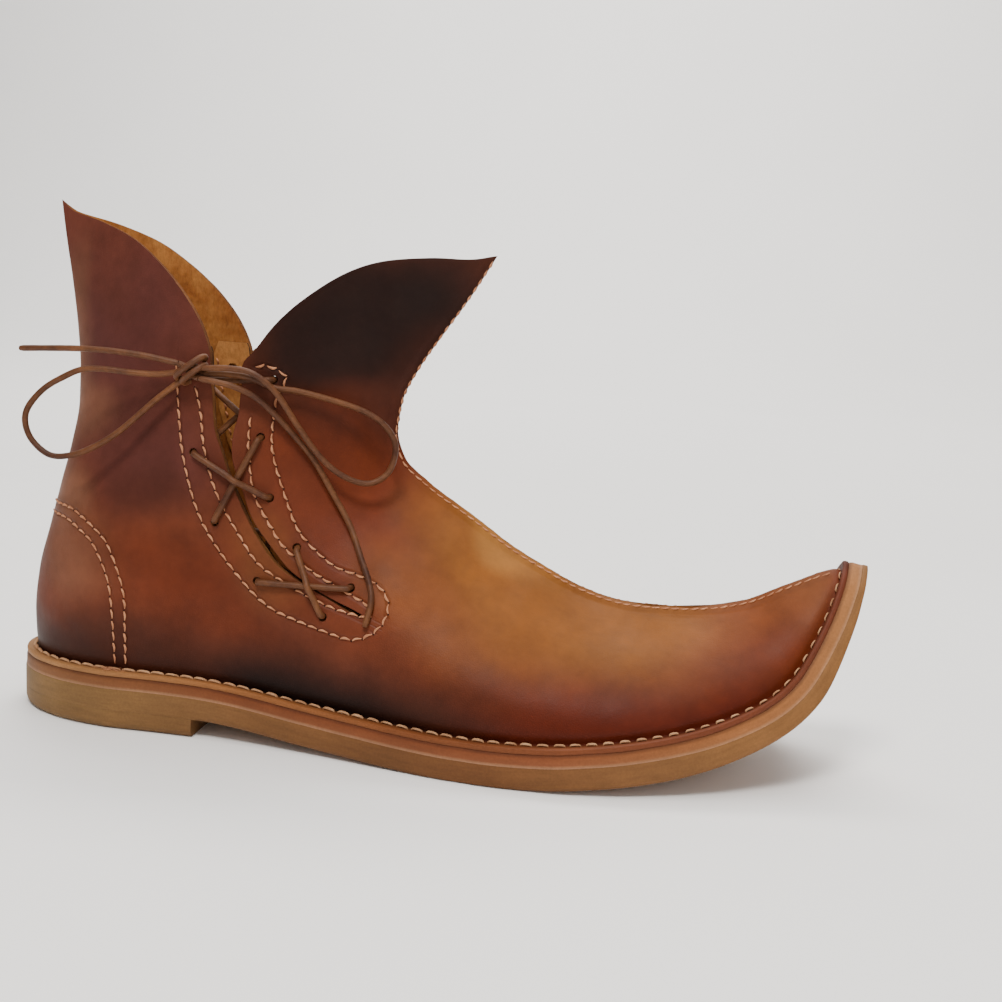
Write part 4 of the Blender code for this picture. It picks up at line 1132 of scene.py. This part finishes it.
def seam_route(side):
    """The top-stitched row beside the raised centre seam; on the fin it moves to the seam's front."""
    rows = []
    for height in np.arange(5.0, 164.0, 0.8):
        s = seam_s(height, float(np.interp(height, (82, 100), (SEAM_HALF - 0.85, 0.8))))
        i = int(np.clip(round(height / 175 * 700), 1, 699))
        line = _front_line[i + 1] - _front_line[i - 1]
        lift = np.array([line[1], -line[0]]) / np.linalg.norm(line)
        rise = SEAM_RISE * float(fade(2.5, 9, height))
        point = upper_point(s, side * float(half_width(s, height, side)), height)
        point[0] += rise * lift[0]
        point[2] += rise * lift[1]
        if inside(point[None, [0, 2]], np.array(COLLAR))[0] or nearest(point[None, [0, 2]], COLLAR_EDGE)[0] < 1.2:
            continue
        normal = np.array([lift[0], side * 0.9, lift[1]])
        rows.append(np.concatenate([point, normal / np.linalg.norm(normal)]))
    return np.array(rows)


def welt_route(side):
    """The valley between the upper's wall and its turned-out edge."""
    width = table(FLANGE, 1, FOOT[side][:, 0]) * 0.22 + 0.15
    track = FOOT[side] + FOOT_OUT[side] * width[:, None]
    track[:, 1] = np.maximum(track[:, 1], 0.0)
    route = sole_point(track[:, 0], side * track[:, 1], 2.3)
    high = sole_point(track[:, 0], side * track[:, 1], 3.3) - route
    return np.hstack([route, high])


def build_fluff(material, rng):
    """Cut thread ends, felted together on the turned edge where the counter's rows end."""
    points, faces = [], []
    edge = sole_edge(LATERAL)
    for _ in range(64):
        s, inset, height = 46.0 + rng.gauss(0, 2.3), rng.uniform(0.2, 3.0), rng.uniform(2.1, 3.0)
        turn, reach = rng.uniform(0, 2 * math.pi), rng.uniform(0.6, 1.7)
        route = []
        for share in (0.0, 0.4, 1.0):
            turn += rng.uniform(-0.8, 0.8)
            along_s = s + reach * share * math.cos(turn)
            width = float(np.interp(along_s, edge[:, 0], edge[:, 1])) - inset + reach * share * math.sin(turn) * 0.5
            rise = height + rng.uniform(-0.2, 0.4)
            route.append(sole_point(np.array([along_s]), np.array([LATERAL * width]), rise)[0])
        part = tube("hair", smooth_route(route, 0.35), 0.07, material, sides=4)
        points, faces = join(points, faces, part)
    keep(add_mesh("fluff", points, faces, [material], 60), "lace_leather")


def build_stitches():
    rng = random.Random(7)
    thread = cord_material("thread", (0.33, 0.120, 0.055), (0.58, 0.27, 0.14), 0.75, 300.0, 0.00005)
    welt_thread = cord_material("welt_thread", (0.33, 0.150, 0.070), (0.56, 0.32, 0.17), 0.8, 250.0, 0.00006)
    pinhole_shade = cord_material("pinhole_shade", (0.020, 0.006, 0.003), (0.034, 0.010, 0.005), 0.95, 300.0, 0.00002)
    for name, side in SIDES.items():
        stitches = []
        for row in ROWS:
            stitches += sewn(side_route(row, side), 4.0, 3.9, 0.14, rng)
        # Painted shade: dark flat discs at the stitches' starts stand for the shade in the needle holes.
        holes = []
        for a, b, up, _ in stitches:
            across = np.cross(b - a, up)
            across *= 0.5 / np.linalg.norm(across)
            way = (b - a) * 0.36 / np.linalg.norm(b - a)
            holes.append((a - way + across, a + way + across, up, 1.0))
        keep(threads("pinhole_shades_" + name, holes, 0.34, 0.3, pinhole_shade, PINHOLE_SHADE), "lace_leather")
        for row in ROWS[:2]:
            stitches += sewn(side_route(row, side, FACING_INNER), 3.4, 2.8, 0.2, rng)
        keep(threads("stitches_" + name, stitches, 0.40, 0.8, thread, SADDLE), "lace_leather")
        seam = sewn(seam_route(side), 3.3, 3.1, 0.12, rng)
        keep(threads("seam_stitches_" + name, seam, 0.33, 0.8, thread, SADDLE), "lace_leather")
    stitches = []
    for side in (LATERAL, MEDIAL):
        for a, b, up, size in sewn(welt_route(side), 5.3, 4.9, 0.16, rng):
            size *= float(np.interp(a[0], (150, 225, 262), (1.0, 0.8, 0.62)))
            b = a + (b - a) * float(np.interp(a[0], (20, 60, 140, 210), (1.05, 0.94, 0.86, 0.64)))
            stitches.append((a, b, up, size))
    keep(threads("welt_stitches", stitches, 0.60, 0.72, welt_thread, LOCK, 8), "lace_leather")
    build_fluff(thread, rng)


# Sole

def at(value, s):
    return value(s) if callable(value) else value + 0.0 * np.asarray(s, float)


def sole_stack(name, levels, material, dyes, stations, s_end=None, tones=None):
    """A sole piece from levels of inset, height and lowest z; insets and heights may vary along it."""
    low, high = sole_edge(LATERAL)[0, 0], sole_edge(LATERAL)[-1, 0]
    share = spread(stations) if s_end is None else 1 - np.cos(np.linspace(0, math.pi / 2, stations))
    points, run = [], []
    for inset, height, floor in levels:
        base = low + float(at(inset, low))
        top = high - float(at(inset, high)) if s_end is None else s_end
        s = base + (top - base) * share
        for side in (LATERAL, MEDIAL):
            edge = sole_edge(side, at(inset, FOOT[side][:, 0]))
            width = np.interp(s, edge[:, 0], edge[:, 1])
            calm = np.clip(np.minimum(s - base, high - s) / 14, 0, 1)
            width = np.maximum(width + (waver(s, side, 0.16) - 0.12) * calm, 0)
            ring = sole_point(s, side * width, at(height, s))
            if floor is not None:
                ring[:, 2] = np.maximum(ring[:, 2], floor)
            points.append(ring)
            run.append(np.stack([s, side * width, at(height, s)], axis=1))

    def corner(level, station, hand):
        return (level * 2 + hand) * stations + station

    faces = []
    last = len(levels) - 1
    for station in range(stations - 1):
        for level in (0, last):
            faces.append((corner(level, station, 0), corner(level, station + 1, 0),
                          corner(level, station + 1, 1), corner(level, station, 1)))
        for level in range(last):
            for hand in (0, 1):
                faces.append((corner(level, station, hand), corner(level, station + 1, hand),
                              corner(level + 1, station + 1, hand), corner(level + 1, station, hand)))
    for station in (0, stations - 1):
        for level in range(last):
            faces.append((corner(level, station, 0), corner(level, station, 1),
                          corner(level + 1, station, 1), corner(level + 1, station, 0)))
    piece = add_mesh(name, np.vstack(points), faces, [material], 50)
    run = np.vstack(run)
    if len(piece.data.vertices) != len(run):
        raise RuntimeError(name + " lost vertices")
    colours = along(SOLE_DYES[dyes], run[:, 0])
    # Tones mix a named colour into each level's rims; on the midsole the low rims take a painted highlight.
    if tones:
        share = np.repeat([amount for _, amount in tones], 2 * stations)[:, None]
        rims = np.repeat([NAMED_COLOURS[dye] for dye, _ in tones], 2 * stations, axis=0)
        colours = colours * (1 - share) + rims * share
    lay_vertex_colours(piece.data, colours, run)
    return piece


def build_sole():
    top = -MIDSOLE - GAP
    edge = edge_leather("sole_edge", 0.16, 0.00012)

    def thickness(s):
        return OUTSOLE * table(OUTSOLE_TOE, 1, s)

    def rounding(s):
        return fade(BREAST_S, BREAST_S + 3, s) * thickness(s) / OUTSOLE

    outsole = sole_stack("outsole_leather", [
        (lambda s: 0.7 * rounding(s), lambda s: top - thickness(s), 0.0),
        (lambda s: 0.15 * rounding(s), lambda s: top - thickness(s) + 0.5 * rounding(s), 0.1),
        (0.0, lambda s: top - thickness(s) + 1.3 * rounding(s) + 0.02, 0.4),
        (0.0, lambda s: top - 0.1 * thickness(s), None), (0.2, top + GAP, None),
    ], edge, "outsole", 150)
    keep(outsole, "sole_leather", "outsole")
    lift_top = top - OUTSOLE
    lift = sole_stack("heel_lift_leather", [
        (2.3, -HEEL_TOP_Z, None), (1.3, -HEEL_TOP_Z + 0.25, None), (0.4, -HEEL_TOP_Z + 1.3, None),
        (0.05, -HEEL_TOP_Z + 2.6, None), (0.0, lift_top - 1.0, None), (0.0, lift_top, None),
    ], edge, "outsole", 70, s_end=BREAST_S)
    flatten_lift(lift)
    keep(lift, "sole_leather", "heel_lift")
    middle = edge_leather("midsole_edge", 0.12, 0.0001)
    midsole = sole_stack("midsole_leather", [
        (0.2, -MIDSOLE, None), (0.28, -MIDSOLE + 0.5, None), (0.32, -MIDSOLE + 1.2, None),
        (0.32, -1.0, None), (0.5, -0.3, None), (0.75, GAP, None),
    ], middle, "midsole", 150, tones=MIDSOLE_RIMS)
    keep(midsole, "midsole_leather", "midsole")


def flatten_lift(piece):
    """The lift's lower levels lie in level planes, because the sole's top turns before its breast."""
    levels = (0.0, 0.25, 1.3, 2.6)
    count = len(piece.data.vertices) // 6
    for i, vertex in enumerate(piece.data.vertices):
        if i // count < len(levels):
            vertex.co.z = levels[i // count] * MM


# Laces

def tube(name, route, radius, material, sides=14, flat=0.94, twist=0.0, taper=False):
    """A cord along points, slightly flattened, as a mesh."""
    route = np.array(route, float)
    run = np.gradient(route, axis=0)
    run /= np.linalg.norm(run, axis=1)[:, None]
    side = np.cross(run[0], (0.3, 0.2, 0.93))
    points, faces = [], []
    for i, (centre, way) in enumerate(zip(route, run)):
        side = side - way * np.dot(side, way)
        side /= np.linalg.norm(side)
        other = np.cross(way, side)
        size = radius * (1 + 0.05 * noise.noise(Vector(centre / 3.5)))
        if taper and i in (0, len(route) - 1):
            size *= 0.8
        turn = twist * i
        for k in range(sides):
            t = 2 * math.pi * k / sides
            u, v = math.cos(t) * size, math.sin(t) * size * flat
            points.append(centre + side * (u * math.cos(turn) - v * math.sin(turn))
                          + other * (u * math.sin(turn) + v * math.cos(turn)))
    for i in range(len(route) - 1):
        for k in range(sides):
            n = (k + 1) % sides
            a = i * sides
            faces.append((a + k, a + n, a + sides + n, a + sides + k))
    faces.append(tuple(range(sides)))
    faces.append(tuple((len(route) - 1) * sides + k for k in range(sides)))
    return add_mesh(name, points, faces, [material], 60)


def lace_spot(x, z, side, offset):
    s = np.interp(x, _arc_x, _arc)
    height = z - np.interp(x, _arc_x, _arc_z)
    width = float(half_width(s, height, side))
    along_s = float(half_width(s + 1, height, side)) - width
    up = float(half_width(s, height + 1, side)) - width
    rise = float(bulge(np.array([x]), np.array([z]), side)[0]) if offset > -1.0 else 0.0
    return (x, side * (width + rise + offset * math.sqrt(1 + along_s**2 + up**2)), z)


def crossing(start, end, other_start, other_end):
    run = np.array(end) - start
    other = np.array(other_end) - other_start
    apart = np.array(other_start) - start
    return (apart[0] * other[1] - apart[1] * other[0]) / (run[0] * other[1] - run[1] * other[0])


def lace_strand(names, side, base, lift):
    start, end = (np.array(HOLES[n]) for n in names)
    length = np.linalg.norm(end - start)
    if names in LACE_OVER:
        middle = crossing(start, end, *(HOLES[n] for n in LACE_OVER[names]))
        steps = [(-LACE_RAMP, lift / 2), (0, lift), (LACE_RAMP, lift / 2)]
    else:
        middle = 0.5
        steps = [(0, 0)]
    points = []
    for distance, extra in steps:
        x, z = start + (end - start) * (middle + distance / length)
        points.append(lace_spot(x, z, side, base + extra))
    return points


def lace_bend(hole, other, side, steps):
    away = np.array(other) - np.array(hole)
    away /= np.linalg.norm(away)
    return [lace_spot(hole[0] + away[0] * d, hole[1] + away[1] * d, side, off) for d, off in steps]


def lace_route(side):
    inside_depth = -FACING_INNER - 1.6
    middle = -FACING_INNER / 2
    outer_bend = [(0.75, 0.65), (2.0, LACE_LIFT)]
    inner_bend = [(0.75, -FACING_INNER - 0.75), (2.0, inside_depth)]
    first = HOLES[LACE_ORDER[0]]
    points = [lace_spot(first[0], first[1], side, 1.0)]
    for k in range(len(LACE_ORDER) - 1):
        names = (LACE_ORDER[k], LACE_ORDER[k + 1])
        here, there = HOLES[names[0]], HOLES[names[1]]
        hidden = k % 2 == 0
        bend, base, lift = (inner_bend, inside_depth, -2.6) if hidden else (outer_bend, LACE_LIFT, LACE_CROSS)
        points.append(lace_spot(here[0], here[1], side, middle))
        points += lace_bend(here, there, side, bend)
        points += lace_strand(names, side, base, lift)
        points += lace_bend(there, here, side, bend)[::-1]
    last = HOLES[LACE_ORDER[-1]]
    points.append(lace_spot(last[0], last[1], side, middle))
    points += lace_bend(last, (KNOT[0], LACE_END[1]), side, outer_bend)
    for share in (0.5, 1.0):
        x = last[0] + (LACE_END[0] - last[0]) * share
        z = last[1] + (LACE_END[1] - last[1]) * share
        points.append(lace_spot(x, z, side, LACE_LIFT + LACE_END[2] * share))
    return points


def beside_knot(point):
    away = np.array(point) - KNOT
    surface = away / np.linalg.norm(away / np.array(KNOT_RADII))
    return tuple(KNOT + surface + away / np.linalg.norm(away) * KNOT_GAP)


def join(points, faces, part):
    """The lists with a part's mesh added; the part goes away."""
    base = len(points)
    mesh = part.data
    points = points + [np.array(v.co) / MM for v in mesh.vertices]
    faces = faces + [tuple(base + i for i in f.vertices) for f in mesh.polygons]
    bpy.data.objects.remove(part, do_unlink=True)
    bpy.data.meshes.remove(mesh)
    return points, faces


def build_laces(material):
    for name, side in SIDES.items():
        run = tube("lace_run_" + name, smooth_route(lace_route(side), 0.9), LACE_RADIUS, material)
        keep(run, "lace_leather", "lace_" + name)
        routes = BOW_LATERAL if side == LATERAL else BOW_MEDIAL
        tips = {"run": [(LACE_END[0], abs(lace_route(side)[-1][1]), LACE_END[1])]}
        for piece, route in routes.items():
            route = [beside_knot(route[0])] + route[1:]
            loops = piece.startswith("loop")
            if loops:
                route[-1] = beside_knot(route[-1])
            tips[piece] = [route[0], route[-1]]
            route = [(x, side * y, z) for x, y, z in route]
            line = smooth_route(route, 1.2)
            cord = tube("bow_" + piece + "_" + name, line, LACE_RADIUS, material, taper=not loops)
            keep(cord, "lace_leather", "lace_" + piece + "_" + name)
        knot = build_knot("knot_" + name, side, tips, material)
        keep(knot, "lace_leather", "lace_knot_" + name)


# The turns over the knot, from its middle: along, outwards, up
WRAPS = [
    [(-3.2, -1.9, -3.2), (-4.5, 0.2, -2.9), (-3.8, 2.4, -1.6), (-1.2, 3.5, 0.5), (1.9, 3.1, 2.9),
     (4.0, 1.5, 4.5), (4.9, -0.5, 4.7), (3.9, -1.9, 3.6)],
    [(-1.0, -2.1, -3.8), (-2.2, 0.0, -4.3), (-1.8, 2.2, -3.4), (0.4, 3.2, -1.6), (2.9, 2.7, 0.4),
     (4.5, 1.1, 1.8), (4.9, -0.8, 2.0), (3.8, -1.9, 1.2)],
]
# The strands that the turns hold: from one cord's end to another's, bent through the middle
HELD = [("loop_rear", 0, "loop_front", 0, (0, 0.9, 1.4)), ("loop_rear", 1, "end_front", 0, (0, 0.6, -1.7)),
        ("end_rear", 0, "loop_front", 1, (0, -0.9, 0.5)), ("run", 0, "end_rear", 0, (-0.8, -0.2, -0.3))]


def build_knot(name, side, tips, material):
    """The bow's knot: slanting turns over the strands that meet in it."""
    mirror = np.array([1, side, 1])
    turns = [[(KNOT + point) * mirror for point in np.array(wrap)] for wrap in WRAPS]
    for first, i, second, j, bend in HELD:
        a, b = np.array(tips[first][i]), np.array(tips[second][j])
        turns.append([a * mirror, (KNOT + bend) * mirror, b * mirror])
    points, faces = [], []
    for turn in turns:
        part = tube(name + "_turn", smooth_route(turn, 0.6), LACE_RADIUS * 0.98, material)
        points, faces = join(points, faces, part)
    return add_mesh(name, points, faces, [material], 60)


# Stage

def build_stage():
    """A pale floor that sweeps up behind the shoe."""
    profile = [(-4.0, 0.0), (1.6, 0.0)]
    radius = 1.1
    for k in range(1, 17):
        turn = math.pi / 2 * k / 16
        profile.append((1.6 + radius * math.sin(turn), radius * (1 - math.cos(turn))))
    profile.append((1.6 + radius, 4.0))
    points, faces = [], []
    for x in (-6.0, 6.0):
        points += [(x, y, z + FLOOR_Z * MM) for y, z in profile]
    count = len(profile)
    for k in range(count - 1):
        faces.append((k, k + 1, count + k + 1, count + k))
    mesh = bpy.data.meshes.new("floor")
    mesh.from_pydata(points, [], faces)
    mesh.shade_smooth()
    floor = bpy.data.objects.new("floor", mesh)
    bpy.context.scene.collection.objects.link(floor)
    made, nodes, links, shader = new_material("floor_paint")
    here = nodes.new("ShaderNodeTexCoord").outputs["Object"]
    tone = texture(nodes, links, "Noise", 3.0, here, 2.0, 0.5)
    colour = ramp(nodes, links, tone.outputs["Fac"], [(0.3, grey(0.94)), (0.7, grey(0.96))])
    links.new(colour, shader.inputs["Base Color"])
    shader.inputs["Roughness"].default_value = 0.9
    shader.inputs["Specular IOR Level"].default_value = 0.1
    mesh.materials.append(made)
    world = bpy.context.scene.world or bpy.data.worlds.new("World")
    bpy.context.scene.world = world
    world.use_nodes = True
    back = world.node_tree.nodes["Background"]
    back.inputs["Color"].default_value = (1.0, 0.985, 0.97, 1)
    back.inputs["Strength"].default_value = 0.38


LAMPS = [
    # name, place, aimed at, size, power
    ("key", (0.06, -0.62, 1.00), (0.10, 0.0, 0.06), 0.30, 10.5),
    ("top", (0.35, 0.05, 1.20), (0.14, 0.0, 0.05), 0.7, 7.0),
    ("fill", (0.80, -0.95, 0.50), (0.12, 0.0, 0.06), 0.7, 2.0),
    ("backdrop", (0.0, 1.2, 2.2), (0.0, 2.6, 0.5), 1.6, 80.0),
]


def build_lights():
    for name, place, target, size, power in LAMPS:
        data = bpy.data.lights.new(name, "AREA")
        data.shape = "SQUARE"
        data.size = size
        data.energy = power
        data.color = (1.0, 0.96, 0.91)
        lamp = bpy.data.objects.new(name, data)
        lamp.location = place
        lamp.rotation_euler = (Vector(target) - Vector(place)).to_track_quat("-Z", "Y").to_euler()
        bpy.context.scene.collection.objects.link(lamp)


def build_camera():
    data = bpy.data.cameras.new("camera")
    data.lens = CAMERA_LENS
    data.sensor_width = 36.0
    data.clip_start = 0.01
    made = bpy.data.objects.new("camera", data)
    ahead = Vector(CAMERA_AHEAD).normalized()
    right = ahead.cross(Vector(CAMERA_UP)).normalized()
    up = right.cross(ahead)
    place = [c * MM for c in CAMERA_AT]
    made.matrix_world = Matrix((
        (right.x, up.x, -ahead.x, place[0]), (right.y, up.y, -ahead.y, place[1]),
        (right.z, up.z, -ahead.z, place[2]), (0, 0, 0, 1),
    ))
    bpy.context.scene.collection.objects.link(made)
    bpy.context.scene.camera = made


def main():
    build_camera()
    lace = cord_material("lace_leather", (0.036, 0.011, 0.006), (0.165, 0.062, 0.022), 0.5, 45.0, 0.00008)
    build_laces(lace)
    golden = suede("flesh_side", (0.190, 0.050, 0.011), (0.420, 0.175, 0.045))
    # Painted shade: the upper's cut edges are a dark suede, standing for the shade along the slit's edge.
    cut_edge = suede("cut_edge", (0.080, 0.026, 0.009), (0.170, 0.066, 0.022), 0.0)
    upper = build_upper([dyed_leather(), golden, cut_edge, edge_leather("turned_edge", 0.12, 0.0001)])
    keep(upper, "upper_leather", "upper")
    # Painted light: the facings take a lighter copy of the flesh side's suede, standing for light that falls into
    # the slit; cut set adds painted shade on their edges.
    facing = suede("facing_flesh_painted_light", (0.260, 0.090, 0.024), (0.520, 0.240, 0.075), 0.0, True)
    for node, made in (("facing_lateral", facing), ("facing_medial", facing), ("insole", golden)):
        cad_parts[node].data.materials.clear()
        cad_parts[node].data.materials.append(made)
    build_sole()
    build_stitches()
    build_stage()
    build_lights()


main()
